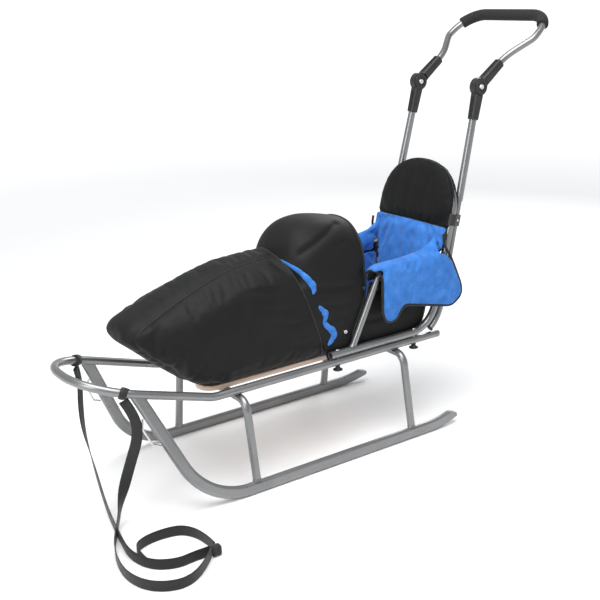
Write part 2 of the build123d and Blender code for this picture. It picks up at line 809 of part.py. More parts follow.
def make_headrest():
    """A padded pocket, pulled down over the back frame's arch."""
    with BuildPart() as rest:
        with BuildSketch(back_plane.offset(-headrest_back)):
            with BuildLine():
                Polyline(
                    (-headrest_half, headrest_low),
                    (headrest_half, headrest_low),
                    (headrest_half, headrest_top),
                    (-headrest_half, headrest_top),
                    close=True,
                )
            corners = make_face().vertices().group_by(Axis.Y)[-1]
            fillet(corners, headrest_corner_r)
        extrude(amount=back_pad_front + headrest_back)
        fillet(rest.faces().sort_by(Axis.X)[-1].edges(), 7)
        add(sweep_round(*seat_frame_path(), tube_r + fit_gap), mode=Mode.SUBTRACT)
        for _, side in sides:
            block, _, _ = make_clamp_block(clamp_heights[-1], side, fit_gap)
            add(block, mode=Mode.SUBTRACT)
    return rest.part


def make_side_panel(side):
    """The liner's side, between the seat tube, the back frame and the armrest."""
    front = front_x - hood_side_rear - fit_gap
    ahead_of_back = (tube_r + clamp_wall + fit_gap) / cos(lean)
    low = seat_z
    outline = [
        (front, low),
        (front, arm_z - 40),
        (front - 40, arm_z),
        (back_line(arm_z) + ahead_of_back, arm_z),
        (back_line(low + 60) + ahead_of_back, low + 60),
        (seat_corner_x + 60, low),
    ]
    with BuildPart() as panel:
        with BuildSketch(Plane((0, liner_half + fit_gap, 0), x_dir=(1, 0, 0), z_dir=(0, -1, 0))):
            with BuildLine():
                Polyline(*outline, close=True)
            fillet(make_face().vertices(), 12)
        extrude(amount=liner_half + fit_gap - panel_half)
    return sided(panel.part, side)


def make_arm_flap(side):
    """The liner's wing: over the armrest and down outside it, with two lobes."""
    inner = rail_half + tube_r + clamp_wall + flap_clear
    outline = [
        (419, 470),
        (552, 466),
        (621, 479),
        (659, 447),
        (692, 368),
        (694, 343),
        (659, 318),
        (491, 359),
        (461, 320),
        (434, 320),
        (421, 345),
    ]
    with BuildPart() as wing:
        with BuildSketch(Plane((0, inner, 0), x_dir=(1, 0, 0), z_dir=(0, -1, 0))):
            with BuildLine():
                Polyline(*[(front_x - behind, z) for behind, z in outline], close=True)
            fillet(make_face().vertices(), 9)
        extrude(amount=-flap_thick)
        with BuildSketch(Plane((0, liner_half + fit_gap, 0), x_dir=(1, 0, 0), z_dir=(0, -1, 0))):
            with Locations((front_x - 430, armrest_top)):
                Rectangle(180, flap_thick, align=(Align.MAX, Align.MIN))
        extrude(amount=liner_half + fit_gap - inner - flap_thick / 2)
    return sided(wing.part, side)


# ---------------------------------------------------------------- tow strap
def make_wrap(side):
    """The strap's turn round the nose's tube, at its corner."""
    turn = radians(strap_turn)
    local = (
        nose_length - nose_corner_r * (1 - sin(turn)),
        side * (rail_half - nose_corner_r * (1 - cos(turn))),
        0,
    )
    ahead = nose_plane.from_local_coords((cos(turn), -side * sin(turn), 0)) - nose_plane.origin
    with BuildPart() as wrap:
        with BuildSketch(Plane(nose_plane.from_local_coords(local), z_dir=ahead)):
            Circle(tube_r + fit_gap + strap_band)
        extrude(amount=strap_width / 2, both=True)
        add(sweep_round(*rail_path(), tube_r + fit_gap), mode=Mode.SUBTRACT)
    return wrap.part


def make_strap(points, name):
    """A tube along straight runs, each corner's arc as large as its two runs allow."""
    corners = [Vector(front_x + ahead, y, z) for ahead, y, z in points]
    runs = [end - start for start, end in zip(corners, corners[1:])]
    radii = []
    for before, after in zip(runs, runs[1:]):
        half_turn = radians(before.get_angle(after)) / 2
        radii.append(0.45 * min(before.length, after.length) / tan(half_turn))
    print(name, "runs", [round(run.length) for run in runs], "radii", [round(r) for r in radii])
    strap = sweep_round(corners, radii, strap_r)
    return strap


def make_joint():
    length, width, height = joint_size
    with BuildPart() as joint:
        with BuildSketch():
            with Locations((front_x + joint_at[0], joint_at[1])):
                RectangleRounded(length, width, 2)
        extrude(amount=height)
        fillet(joint.faces().sort_by(Axis.Z)[-1].edges(), 1.5)
    return joint.part


# ---------------------------------------------------------------- the assembly, one file a piece
save(make_rail_loop(), "rail_loop")
save(make_bow(front_x), "leg_bow_front")
save(make_bow(rear_x), "leg_bow_rear")
save(make_seat_frame(), "seat_frame")

for name, side in sides:
    save(make_runner(side), f"runner_{name}")
    save(make_slat(side), f"slat_{name}")
    save(make_eyelet(side), f"tow_eyelet_{name}")
    save(make_arm(side), f"arm_tube_{name}")
    for place, behind in zip(("front", "rear"), bolts_behind):
        save(make_bolt(behind, side), f"seat_bolt_{place}_{name}")
        save(make_knob(behind, side), f"seat_knob_{place}_{name}")
    save(make_pusher_leg(side), f"pusher_leg_{name}")
    save(make_pusher_plug(side), f"pusher_plug_{name}")
    save(make_pusher_tube(side), f"pusher_tube_{name}")
    for place, height in zip(("lower", "upper"), clamp_heights):
        save(make_clamp(height, side), f"clamp_{place}_{name}")
    save(make_housing(side, -pusher_axis(side), lower_housing, -1, tube_r), f"hinge_lower_{name}")
    save(make_housing(side, handle_way, upper_housing, 1, handle_r), f"hinge_upper_{name}")
    save(make_hinge_pin(side), f"hinge_pin_{name}")
    save(make_side_panel(side), f"side_panel_{name}")
    save(make_arm_flap(side), f"arm_flap_{name}")
    save(make_wrap(side), f"strap_wrap_{name}")

save(make_handle_bar(), "handle_bar")
save(make_grip(), "handle_grip")
save(make_seat_pad(), "seat_pad")
save(make_back_pad(), "back_pad")
save(make_headrest(), "headrest")
save(make_footmuff(), "footmuff_body")
save(make_hood(), "footmuff_hood")
save(make_strap(strap_left, "left"), "tow_strap_left")
save(make_strap(strap_right, "right"), "tow_strap_right")
save(make_strap(strap_loop, "loop"), "tow_strap_loop")
save(make_joint(), "strap_joint")
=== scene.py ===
import math

import bmesh
import bpy
import numpy as np
from mathutils import Matrix, Vector
from mathutils.bvhtree import BVHTree


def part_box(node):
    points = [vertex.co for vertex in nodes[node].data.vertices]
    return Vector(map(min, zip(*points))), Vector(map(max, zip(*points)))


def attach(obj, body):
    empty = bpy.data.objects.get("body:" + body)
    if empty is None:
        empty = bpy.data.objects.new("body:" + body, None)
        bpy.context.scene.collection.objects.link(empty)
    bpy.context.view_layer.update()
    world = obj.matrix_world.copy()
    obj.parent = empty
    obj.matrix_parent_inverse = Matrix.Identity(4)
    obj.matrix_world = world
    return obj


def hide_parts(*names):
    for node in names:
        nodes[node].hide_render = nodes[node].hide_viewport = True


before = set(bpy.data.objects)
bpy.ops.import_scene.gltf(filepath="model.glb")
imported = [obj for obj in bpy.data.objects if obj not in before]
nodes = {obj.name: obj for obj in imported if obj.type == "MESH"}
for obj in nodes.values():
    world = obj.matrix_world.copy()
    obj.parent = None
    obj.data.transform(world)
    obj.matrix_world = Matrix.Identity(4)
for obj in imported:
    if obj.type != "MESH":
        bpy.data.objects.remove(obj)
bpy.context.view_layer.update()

SIDES = (("left", 1), ("right", -1))
LEFT, UP = Vector((0, 1, 0)), Vector((0, 0, 1))

# ---- places taken from the frame
bow_low, bow_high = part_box("leg_bow_front")
FRONT = (bow_low.x + bow_high.x) / 2  # the front bow, which every "ahead" below is measured from
SOFT_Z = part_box("footmuff_body")[0].z * 1000  # underside of the soft pieces, just above the slats
BAG_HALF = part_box("footmuff_body")[1].y * 1000
PANEL_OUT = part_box("side_panel_left")[1].y * 1000
PANEL_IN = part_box("side_panel_left")[0].y * 1000
FLAP_IN, FLAP_OUT = 152.0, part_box("arm_flap_left")[1].y * 1000
HEAD_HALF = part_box("headrest")[1].y * 1000
SEAT_CORNER = -600.0  # where the seat's tube turns up into the back, ahead of the front bow
SEAT_TUBE_Z = 263.6
LEAN = math.radians(14)
HEAD_LOW = 268.0  # the headrest's lower seam, up the back from the seat's corner


def ahead(x, y, z):
    """A point given in millimetres ahead of the front bow, left of the middle and above the floor."""
    return Vector((FRONT + x / 1000, y / 1000, z / 1000))


def on_back(left, up, out):
    """A point in millimetres left of the middle, up the leaning back and out in front of it."""
    return ahead(
        SEAT_CORNER - up * math.sin(LEAN) + out * math.cos(LEAN),
        left,
        SEAT_TUBE_Z + up * math.cos(LEAN) + out * math.sin(LEAN),
    )


def assign(thing, **values):
    for name, value in values.items():
        setattr(thing, name, value)


def linked(name, data):
    """A new object in the scene."""
    made = bpy.data.objects.new(name, data)
    bpy.context.scene.collection.objects.link(made)
    return made


# ---- camera
CAMERA_AHEAD = (1113.65, 2054.5, 1162.75)
CAMERA_AZIMUTH = 235.95  # degrees, the way it looks, from +X towards +Y
CAMERA_ELEVATION = -17.6
CAMERA_ROLL = -2.03
CAMERA_LENS = 60.46  # on a 36 mm sensor


def make_camera():
    azimuth, elevation, roll = map(math.radians, (CAMERA_AZIMUTH, CAMERA_ELEVATION, CAMERA_ROLL))
    look = Vector((
        math.cos(elevation) * math.cos(azimuth),
        math.cos(elevation) * math.sin(azimuth),
        math.sin(elevation),
    ))
    right = look.cross(UP).normalized()
    up = right.cross(look)
    turned_right = right * math.cos(roll) + up * math.sin(roll)
    turned_up = up * math.cos(roll) - right * math.sin(roll)
    camera = linked("camera", bpy.data.cameras.new("camera"))
    assign(camera.data, lens=CAMERA_LENS, sensor_width=36, clip_end=50)
    turn = Matrix((turned_right, turned_up, -look)).transposed().to_4x4()
    camera.matrix_world = Matrix.Translation(ahead(*CAMERA_AHEAD)) @ turn
    bpy.context.scene.camera = camera


make_camera()


# ---- materials
class Paint:
    """A material whose colour, roughness and bump are built up from noise, waves and ramps."""

    def __init__(self, name, roughness, metallic=0.0, specular=0.5, sheen=0.0, coat=0.0):
        self.material = bpy.data.materials.new(name)
        self.material.use_nodes = True
        self.tree = self.material.node_tree
        self.shader = self.tree.nodes["Principled BSDF"]
        for socket, value in (
            ("Roughness", roughness),
            ("Metallic", metallic),
            ("Specular IOR Level", specular),
            ("Sheen Weight", sheen),
            ("Sheen Roughness", 0.45),
            ("Coat Weight", coat),
            ("Coat Roughness", 0.25),
        ):
            self.shader.inputs[socket].default_value = value
        self.place = self.tree.nodes.new("ShaderNodeTexCoord").outputs["Object"]
        self.height = None

    def node(self, kind, **settings):
        made = self.tree.nodes.new(kind)
        for name, value in settings.items():
            if name in made.inputs:
                made.inputs[name].default_value = value
            else:
                setattr(made, name, value)
        return made

    def join(self, start, end):
        self.tree.links.new(start, end)

    def stretched(self, x, y, z):
        """The place, with each axis scaled, for grain that runs one way."""
        mapping = self.node("ShaderNodeMapping", Scale=(x, y, z))
        self.join(self.place, mapping.inputs["Vector"])
        return mapping.outputs["Vector"]

    def noise(self, scale, detail=2.0, where=None):
        made = self.node("ShaderNodeTexNoise", Scale=scale, Detail=detail)
        self.join(where or self.place, made.inputs["Vector"])
        return made.outputs["Fac"]

    def wave(self, scale, direction, where=None):
        made = self.node("ShaderNodeTexWave", bands_direction=direction, Scale=scale, Distortion=0.0)
        self.join(where or self.place, made.inputs["Vector"])
        return made.outputs["Fac"]

    def colours(self, factor, *stops):
        """Colour by a factor: stops are (position, red, green, blue)."""
        ramp = self.node("ShaderNodeValToRGB")
        band = ramp.color_ramp.elements
        while len(band) < len(stops):
            band.new(0.5)
        for element, (position, *colour) in zip(band, stops):
            element.position = position
            element.color = (*colour, 1)
        self.join(factor, ramp.inputs["Fac"])
        self.join(ramp.outputs["Color"], self.shader.inputs["Base Color"])
        return self

    def rough(self, factor, low, high):
        spread = self.node("ShaderNodeMapRange", **{"To Min": low, "To Max": high})
        self.join(factor, spread.inputs["Value"])
        self.join(spread.outputs["Result"], self.shader.inputs["Roughness"])
        return self

    def product(self, first, second):
        made = self.node("ShaderNodeMath", operation="MULTIPLY")
        self.join(first, made.inputs[0])
        self.join(second, made.inputs[1])
        return made.outputs["Value"]

    def bump(self, factor, depth, strength=1.0):
        """Adds a relief of a depth in millimetres, over any that is there already."""
        made = self.node("ShaderNodeBump", Strength=strength, Distance=depth / 1000)
        self.join(factor, made.inputs["Height"])
        if self.height:
            self.join(self.height, made.inputs["Normal"])
        self.height = made.outputs["Normal"]
        self.join(self.height, self.shader.inputs["Normal"])
        return self


def grey(position, level, tint=(1, 1, 1)):
    return (position, *(level * part for part in tint))


def make_silver():
    """Silver powder coat: a satin metallic paint with fine orange peel."""
    paint = Paint("silver_powder_coat", 0.34, metallic=0.8, coat=0.1)
    cool = (0.98, 0.99, 1)
    paint.colours(paint.noise(9, 4), grey(0.3, 0.235, cool), grey(0.7, 0.285, cool))
    paint.rough(paint.noise(60, 3), 0.24, 0.34)
    return paint.bump(paint.noise(500, 2), 0.03, 0.25).material


def make_wood():
    """Pale varnished beech, its grain along the slat."""
    paint = Paint("varnished_beech", 0.42, coat=0.25)
    along = paint.stretched(1.2, 22, 22)
    grain = paint.noise(6, 6, along)
    paint.colours(grain, (0.3, 0.47, 0.315, 0.235), (0.5, 0.62, 0.45, 0.35), (0.72, 0.72, 0.55, 0.45))
    return paint.bump(paint.noise(14, 5, along), 0.15, 0.5).material


def make_bright():
    """Zinc-plated steel with faint turning marks."""
    paint = Paint("zinc_plate", 0.26, metallic=1.0)
    paint.colours(paint.noise(120, 3), grey(0.3, 0.62), grey(0.7, 0.74, (1, 1, 0.97)))
    return paint.bump(paint.noise(900, 2), 0.04, 0.4).material


def make_plastic():
    """Black moulded nylon with a fine spark-eroded grain."""
    paint = Paint("moulded_nylon", 0.42, specular=0.45)
    paint.colours(paint.noise(25, 3), grey(0.3, 0.0136), grey(0.7, 0.0208))
    paint.rough(paint.noise(200, 2), 0.36, 0.52)
    return paint.bump(paint.noise(1500, 2), 0.06, 0.6).material


def make_foam():
    """Closed-cell foam grip: dull, with small pores."""
    paint = Paint("foam_grip", 0.85, specular=0.25)
    paint.colours(paint.noise(300, 3), grey(0.3, 0.014), grey(0.7, 0.026))
    pores = paint.node("ShaderNodeTexVoronoi", Scale=700)
    paint.join(paint.place, pores.inputs["Vector"])
    return paint.bump(pores.outputs["Distance"], 0.4, 0.7).material


def make_fleece():
    """Blue polar fleece: mottled, with a short pile and a soft sheen."""
    paint = Paint("blue_fleece", 0.95, specular=0.05, sheen=0.2)
    cloud = paint.noise(45, 6)
    paint.colours(cloud, (0.3, 0.032, 0.150, 0.47), (0.5, 0.044, 0.182, 0.55), (0.7, 0.062, 0.22, 0.62))
    paint.bump(paint.noise(260, 4), 1.2, 0.35)
    return paint.bump(paint.noise(1100, 2), 0.5, 0.5).material


def make_cloth(name, level, sheen, roughness):
    """Black coated polyester: a fine plain weave that catches a little light."""
    paint = Paint(name, roughness, specular=0.22, sheen=sheen)
    paint.colours(paint.noise(14, 4), grey(0.3, level * 0.8), grey(0.7, level * 1.25))
    paint.rough(paint.noise(30, 3), roughness - 0.06, roughness + 0.08)
    paint.bump(paint.noise(16, 3), 2.2, 0.35)
    weave = paint.product(paint.product(paint.wave(420, "X"), paint.wave(420, "Y")), paint.wave(420, "Z"))
    return paint.bump(weave, 0.12, 0.5).material


def make_webbing():
    """Black polypropylene webbing: close ribs along its length, laid on its own flat map."""
    paint = Paint("black_webbing", 0.6, specular=0.35, sheen=0.15)
    flat = paint.tree.nodes.new("ShaderNodeTexCoord").outputs["UV"]
    ribs = paint.wave(190, "Y", flat)
    paint.colours(paint.product(ribs, paint.noise(500, 2)), grey(0.1, 0.010), grey(0.5, 0.024))
    paint.bump(paint.wave(330, "X", flat), 0.15, 0.5)
    return paint.bump(ribs, 0.3, 0.6).material


def make_piping():
    """Black bias binding, twilled across."""
    paint = Paint("black_binding", 0.55, specular=0.3, sheen=0.1)
    paint.colours(paint.noise(80, 3), grey(0.3, 0.008), grey(0.7, 0.016))
    return paint.bump(paint.wave(260, "DIAGONAL"), 0.2, 0.5).material


SILVER = make_silver()
WOOD = make_wood()
BRIGHT = make_bright()
PLASTIC = make_plastic()
FOAM = make_foam()
FLEECE = make_fleece()
CLOTH = make_cloth("black_taffeta", 0.0055, 0.03, 0.6)
HEAD_CLOTH = make_cloth("black_lining_cloth", 0.0035, 0.02, 0.7)
WEBBING = make_webbing()
PIPING = make_piping()

FINISHES = (
    (SILVER, ("rail_loop", "leg_bow", "seat_frame", "runner", "arm_tube")),
    (SILVER, ("pusher_leg", "pusher_tube", "handle_bar")),
    (BRIGHT, ("tow_eyelet", "seat_bolt", "hinge_pin")),
    (PLASTIC, ("seat_knob", "pusher_plug", "clamp", "hinge_lower", "hinge_upper")),
    (WOOD, ("slat",)),
    (FOAM, ("handle_grip",)),
    (FLEECE, ("seat_pad", "back_pad")),
    (CLOTH, ("headrest", "side_panel", "arm_flap", "footmuff")),
    (WEBBING, ("strap_wrap", "tow_strap", "strap_joint")),
)


def paint_nodes():
    for finish, starts in FINISHES:
        for name, node in nodes.items():
            if name.startswith(starts):
                node.data.materials.clear()
                node.data.materials.append(finish)


paint_nodes()


# ---- mesh tools
def new_object(name, mesh, *paints):
    piece = linked(name, mesh)
    for paint in paints:
        mesh.materials.append(paint)
    for face in mesh.polygons:
        face.use_smooth = True
    return piece


def from_lists(name, points, faces, *paints):
    mesh = bpy.data.meshes.new(name)
    mesh.from_pydata(points, [], faces)
    mesh.validate()
    return new_object(name, mesh, *paints)


def place_piece(piece, slot, *replaced, fill=None):
    """Puts a piece on the sled and hides the solids it stands for; the finish named in slot is not used."""
    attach(piece, "sled")
    if replaced:
        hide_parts(*replaced)


def settle(piece):
    """Turns a piece's modifiers into its mesh."""
    graph = bpy.context.evaluated_depsgraph_get()
    graph.update()
    mesh = bpy.data.meshes.new_from_object(piece.evaluated_get(graph))
    piece.modifiers.clear()
    piece.data = mesh
    for face in mesh.polygons:
        face.use_smooth = True
    return piece


def modify(piece, kind, **settings):
    assign(piece.modifiers.new(kind.lower(), kind), **settings)
    return settle(piece)


def edit(piece, change):
    """Runs a change on the piece's bmesh."""
    work = bmesh.new()
    work.from_mesh(piece.data)
    change(work)
    work.to_mesh(piece.data)
    work.free()
    piece.data.update()


def ring_faces(rings, count):
    """Faces between rings of count points each, and across both ends."""
    faces = [
        (i * count + j, i * count + (j + 1) % count, (i + 1) * count + (j + 1) % count, (i + 1) * count + j)
        for i in range(rings - 1)
        for j in range(count)
    ]
    faces.append(tuple(reversed(range(count))))
    faces.append(tuple(range((rings - 1) * count, rings * count)))
    return faces


def skin(name, rings, *paints):
    """A closed form through rings that have as many points each."""
    points = [point for ring in rings for point in ring]
    return from_lists(name, points, ring_faces(len(rings), len(rings[0])), *paints)


def loft(name, rings, *paints):
    """The same, with its faces turned outwards."""
    piece = skin(name, rings, *paints)
    edit(piece, lambda work: bmesh.ops.recalc_face_normals(work, faces=work.faces))
    return piece


def smooth(piece, times):
    return modify(piece, "SMOOTH", factor=0.5, iterations=times)


def subdivide(piece):
    return modify(piece, "SUBSURF", levels=1, render_levels=1)


def remesh(piece, voxel, times):
    modify(piece, "REMESH", mode="VOXEL", voxel_size=voxel / 1000)
    return smooth(piece, times)


PUFF_FRAMES = 20


def puff(piece, pressure, cap, slack, held=None, rim=None):
    """Blows a closed form up as cloth. No point moves more than cap mm.

    Held points stay, and so do those round the rim of a pad that faces the way of rim.
    """
    scene = bpy.context.scene
    rest = points_of(piece)
    if rim:
        normals = np.zeros(rest.size, np.float32)
        piece.data.vertices.foreach_get("normal", normals)
        edge = np.abs(normals.reshape(-1, 3) @ np.array(rim)) < 0.5
        held = {tuple(point) for point in rest[edge]}.__contains__
    modifier = piece.modifiers.new("cloth", "CLOTH")
    cloth = modifier.settings
    assign(cloth, quality=4, mass=0.3, tension_stiffness=8, compression_stiffness=8)
    assign(cloth, shear_stiffness=4, bending_stiffness=0.3, shrink_min=-slack)
    assign(cloth, use_pressure=True, uniform_pressure_force=pressure)
    cloth.effector_weights.gravity = 0
    modifier.collision_settings.use_collision = False
    if held:
        group = piece.vertex_groups.new(name="held")
        group.add([i for i, point in enumerate(rest) if held(tuple(point))], 1.0, "REPLACE")
        cloth.vertex_group_mass = "held"
    assign(modifier.point_cache, frame_start=1, frame_end=PUFF_FRAMES)
    for number in range(1, PUFF_FRAMES + 1):
        scene.frame_set(number)
    settle(piece)
    scene.frame_set(1)
    moves = points_of(piece) - rest
    lengths = np.linalg.norm(moves, axis=1)
    share = np.minimum(1, cap / 1000 / np.maximum(lengths, 1e-9))
    move_points(piece, rest + moves * share[:, None])
    return piece


def cut_away(piece, planes, gone):
    """Splits the faces along planes, then removes those whose centre is gone."""
    def change(work):
        for point, normal in planes:
            everything = work.verts[:] + work.edges[:] + work.faces[:]
            bmesh.ops.bisect_plane(work, geom=everything, plane_co=point, plane_no=normal)
        lost = [face for face in work.faces if gone(face.calc_center_median())]
        bmesh.ops.delete(work, geom=lost, context="FACES")
    edit(piece, change)
    return piece


def chains(edges):
    """Edges of a bmesh as ordered lists of points, longest first, each with whether it is closed."""
    left = dict.fromkeys(edges)  # unlike a set, it keeps its order from run to run
    found = []
    while left:
        edge, _ = left.popitem()
        ends = [edge.verts[0], edge.verts[1]]
        line = [ends[0], ends[1]]
        for grow_at_end in (True, False):
            while True:
                tip = line[-1] if grow_at_end else line[0]
                step = next((e for e in tip.link_edges if e in left), None)
                if step is None:
                    break
                del left[step]
                line.insert(len(line) if grow_at_end else 0, step.other_vert(tip))
        closed = line[0] is line[-1] and len(line) > 2
        points = [vert.co.copy() for vert in (line[:-1] if closed else line)]
        found.append((points, closed))
    return sorted(found, key=lambda item: -len(item[0]))


def open_edges(piece):
    work = bmesh.new()
    work.from_mesh(piece.data)
    found = chains([edge for edge in work.edges if len(edge.link_faces) == 1])
    work.free()
    return found


def section_line(piece, point, normal):
    """Where a plane cuts the piece's surface."""
    work = bmesh.new()
    work.from_mesh(piece.data)
    everything = work.verts[:] + work.edges[:] + work.faces[:]
    cut = bmesh.ops.bisect_plane(work, geom=everything, plane_co=point, plane_no=normal)["geom_cut"]
    found = chains([item for item in cut if isinstance(item, bmesh.types.BMEdge)])
    work.free()
    return found


def even(points, closed, step, ease=3):
    """The same line with points a step in mm apart, its small kinks eased."""
    if closed:
        points = points + points[:1]
    lengths = [0.0]
    for start, end in zip(points, points[1:]):
        lengths.append(lengths[-1] + (end - start).length)
    count = max(3, round(lengths[-1] * 1000 / step))
    line = []
    index = 0
    for number in range(count + (0 if closed else 1)):
        at = lengths[-1] * number / count
        while index < len(points) - 2 and lengths[index + 1] < at:
            index += 1
        span = max(lengths[index + 1] - lengths[index], 1e-9)
        line.append(points[index].lerp(points[index + 1], (at - lengths[index]) / span))
    for _ in range(ease):
        last = len(line)
        line = [
            point if not closed and number in (0, last - 1)
            else (line[number - 1] + point * 2 + line[(number + 1) % last]) / 4
            for number, point in enumerate(line)
        ]
    return line


def cord_along(name, points, radius, paint, closed=False):
    """A round bead of piping, binding or thread along a line."""
    curve = bpy.data.curves.new(name, "CURVE")
    assign(curve, dimensions="3D", bevel_depth=radius / 1000, bevel_resolution=2, use_fill_caps=True)
    spline = curve.splines.new("POLY")
    spline.points.add(len(points) - 1)
    for place, point in zip(spline.points, points):
        place.co = (*point, 1)
    spline.use_cyclic_u = closed
    holder = bpy.data.objects.new(name + "_line", curve)
    mesh = bpy.data.meshes.new_from_object(holder)
    bpy.data.objects.remove(holder)
    return new_object(name, mesh, paint)


def bead(name, piece, point, normal, radius, step=6, ease=4):
    """Piping all round where a plane cuts the piece."""
    line, closed = section_line(piece, point, normal)[0]
    return cord_along(name, even(line, closed, step, ease), radius, PIPING, closed)


def joined(name, pieces):
    """Several meshes as one piece."""
    work = bmesh.new()
    paints = []
    for piece in pieces:
        for paint in piece.data.materials:
            if paint not in paints:
                paints.append(paint)
    for piece in pieces:
        start = len(work.faces)
        work.from_mesh(piece.data)
        work.faces.ensure_lookup_table()
        for face in work.faces[start:]:
            face.material_index = paints.index(piece.data.materials[face.material_index])
    mesh = bpy.data.meshes.new(name)
    work.to_mesh(mesh)
    work.free()
    for piece in pieces:
        bpy.data.objects.remove(piece)
    return new_object(name, mesh, *paints)


def points_of(piece):
    found = np.zeros(len(piece.data.vertices) * 3, np.float32)
    piece.data.vertices.foreach_get("co", found)
    return found.reshape(-1, 3)


def move_points(piece, points):
    piece.data.vertices.foreach_set("co", points.astype(np.float32).ravel())
    piece.data.update()


def confine(piece, half):
    """Keeps a piece above the slats and within half mm of the middle."""
    low, high = ahead(-900, -half, SOFT_Z + 0.4), ahead(900, half, 2000)
    move_points(piece, np.clip(points_of(piece), np.array(low), np.array(high)))


def crease(piece, line, depth, width):
    """Draws the surface in along a line, by depth mm at its middle and nothing past about twice its width."""
    points = points_of(piece)
    normals = np.zeros(points.size, np.float32)
    piece.data.vertices.foreach_get("normal", normals)
    near = np.full(len(points), 1.0)
    for start, end in zip(line, line[1:]):
        run = np.array(end - start)
        offset = points - np.array(start)
        part = np.clip(offset @ run / max(run @ run, 1e-12), 0, 1)
        near = np.minimum(near, np.linalg.norm(offset - part[:, None] * run, axis=1))
    pull = depth / 1000 * np.exp(-((near * 1000 / width) ** 2))
    move_points(piece, points - normals.reshape(-1, 3) * pull[:, None])


def fold(piece, line, depth, width, beside, share, spread):
    """A crease with a lower ridge beside it, its depth's share high and spread mm wide."""
    crease(piece, line, depth, width)
    crease(piece, [point + beside for point in line], -depth * share, spread)


def on_surface(piece, points, towards):
    """Drops each point onto the piece along a direction."""
    tree = BVHTree.FromObject(piece, bpy.context.evaluated_depsgraph_get())
    found = []
    for point in points:
        hit = tree.ray_cast(point - towards * 0.2, towards, 0.4)[0]
        found.append(hit if hit is not None else tree.find_nearest(point)[0])
    return found


def blended(rows, parts):
    """Rows of numbers with others set smoothly between them."""
    made = []
    for index in range(len(rows) - 1):
        before, start = rows[max(index - 1, 0)], rows[index]
        end, after = rows[index + 1], rows[min(index + 2, len(rows) - 1)]
        for part in range(parts):
            t = part / parts
            made.append(tuple(
                0.5 * (
                    2 * b + (c - a) * t + (2 * a - 5 * b + 4 * c - d) * t * t
                    + (3 * b - a - 3 * c + d) * t ** 3
                )
                for a, b, c, d in zip(before, start, end, after)
            ))
    made.append(tuple(rows[-1]))
    return made


# ---- footmuff
SWELL = 6.0  # how far the cloth may blow out, which the forms start short of
VOXEL = 6.4
MOUTH_TOP = (-172.0, 286.0)  # the bag's slanted mouth: ahead, and above the slats
MOUTH_LOW = (-264.0, 16.0)
HOOD_REAR = -398.0
HOOD_SIDE_REAR = -347.0  # at its foot, beside the arms' front legs
HOOD_EDGE = (400.0, 300.0)  # heights between which the rear edge leans from one to the other
BAG_STATIONS = (  # ahead, half-width, lowest and highest above the slats
    (244.0, 46.0, 150.0, 161.0),
    (234.0, 62.0, 139.0, 175.0),
    (204.0, 86.0, 114.0, 190.0),
    (150.0, 107.0, 66.0, 212.0),
    (90.0, 119.0, 22.0, 236.0),
    (20.0, 122.0, 2.0, 259.0),
    (-50.0, 122.0, 1.0, 275.0),
    (-160.0, 120.5, 1.0, 281.0),
    (-310.0, 118.0, 1.0, 279.0),
)
HOOD_STATIONS = (
    (-164.0, 113.0, -60.0, 248.0),
    (-192.0, 117.0, -60.0, 269.0),
    (-204.0, 119.0, -60.0, 296.0),
    (-220.0, 120.0, -60.0, 320.0),
    (-248.0, 120.5, -60.0, 339.0),
    (-290.0, 120.5, -60.0, 347.0),
    (-338.0, 120.5, -60.0, 343.0),
    (-388.0, 120.0, -60.0, 332.0),
    (-425.0, 119.0, -60.0, 319.0),
)


def bowed(value, exponent):
    """A cosine or sine as a superellipse has it."""
    return math.copysign(abs(value) ** exponent, value)


def muff_section(x, half, low, high, upper, lower, count=72):
    """A ring across the sled, as a superellipse that is rounder above than below."""
    middle = SOFT_Z + low + (high - low) * 0.42
    ring = []
    for number in range(count):
        across = math.cos(math.tau * number / count)
        rise = math.sin(math.tau * number / count)
        power = upper if rise > 0 else lower
        reach = SOFT_Z + high - middle if rise > 0 else middle - SOFT_Z - low
        ring.append(ahead(
            x,
            half * bowed(across, 2 / power),
            middle + reach * bowed(rise, 2 / power),
        ))
    return ring


def mouth_plane(back):
    """The mouth's plane, moved back by mm at its foot and not at its top."""
    top = ahead(MOUTH_TOP[0], 0, SOFT_Z + MOUTH_TOP[1])
    low = ahead(MOUTH_LOW[0] - back, 0, SOFT_Z + MOUTH_LOW[1])
    along = (low - top).normalized()
    return top, along.cross(LEFT).normalized()


def ahead_of(plane):
    point, normal = plane
    if normal.x < 0:
        normal = -normal
    return lambda place: (place - point).dot(normal) > 0


SEAM_TOE = (205.0, 67.0)  # the side seams stand in planes: ahead and from the middle, at the toe
SEAM_REAR = (-160.0, 38.0)  # and at the mouth


def seam_plane(side):
    toe, rear = ahead(SEAM_TOE[0], side * SEAM_TOE[1], 0), ahead(SEAM_REAR[0], side * SEAM_REAR[1], 0)
    return toe, (toe - rear).cross(UP).normalized()


def near_seam(point):
    """Whether a point of the bag is sewn down: along a side seam, or under the bag on the slats."""
    point = Vector(point)
    toe, normal = seam_plane(1 if point.y > 0 else -1)
    on_seam = abs((point - toe).dot(normal)) < 0.004 and point.z > (SOFT_Z + 30) / 1000
    return on_seam or point.z < (SOFT_Z + 5) / 1000


def lined(piece, thick):
    """Gives the open shell its thickness, with fleece inside."""
    piece.data.materials.append(FLEECE)
    modify(piece, "SOLIDIFY", thickness=thick, offset=-1, material_offset=1, material_offset_rim=0)
    return piece


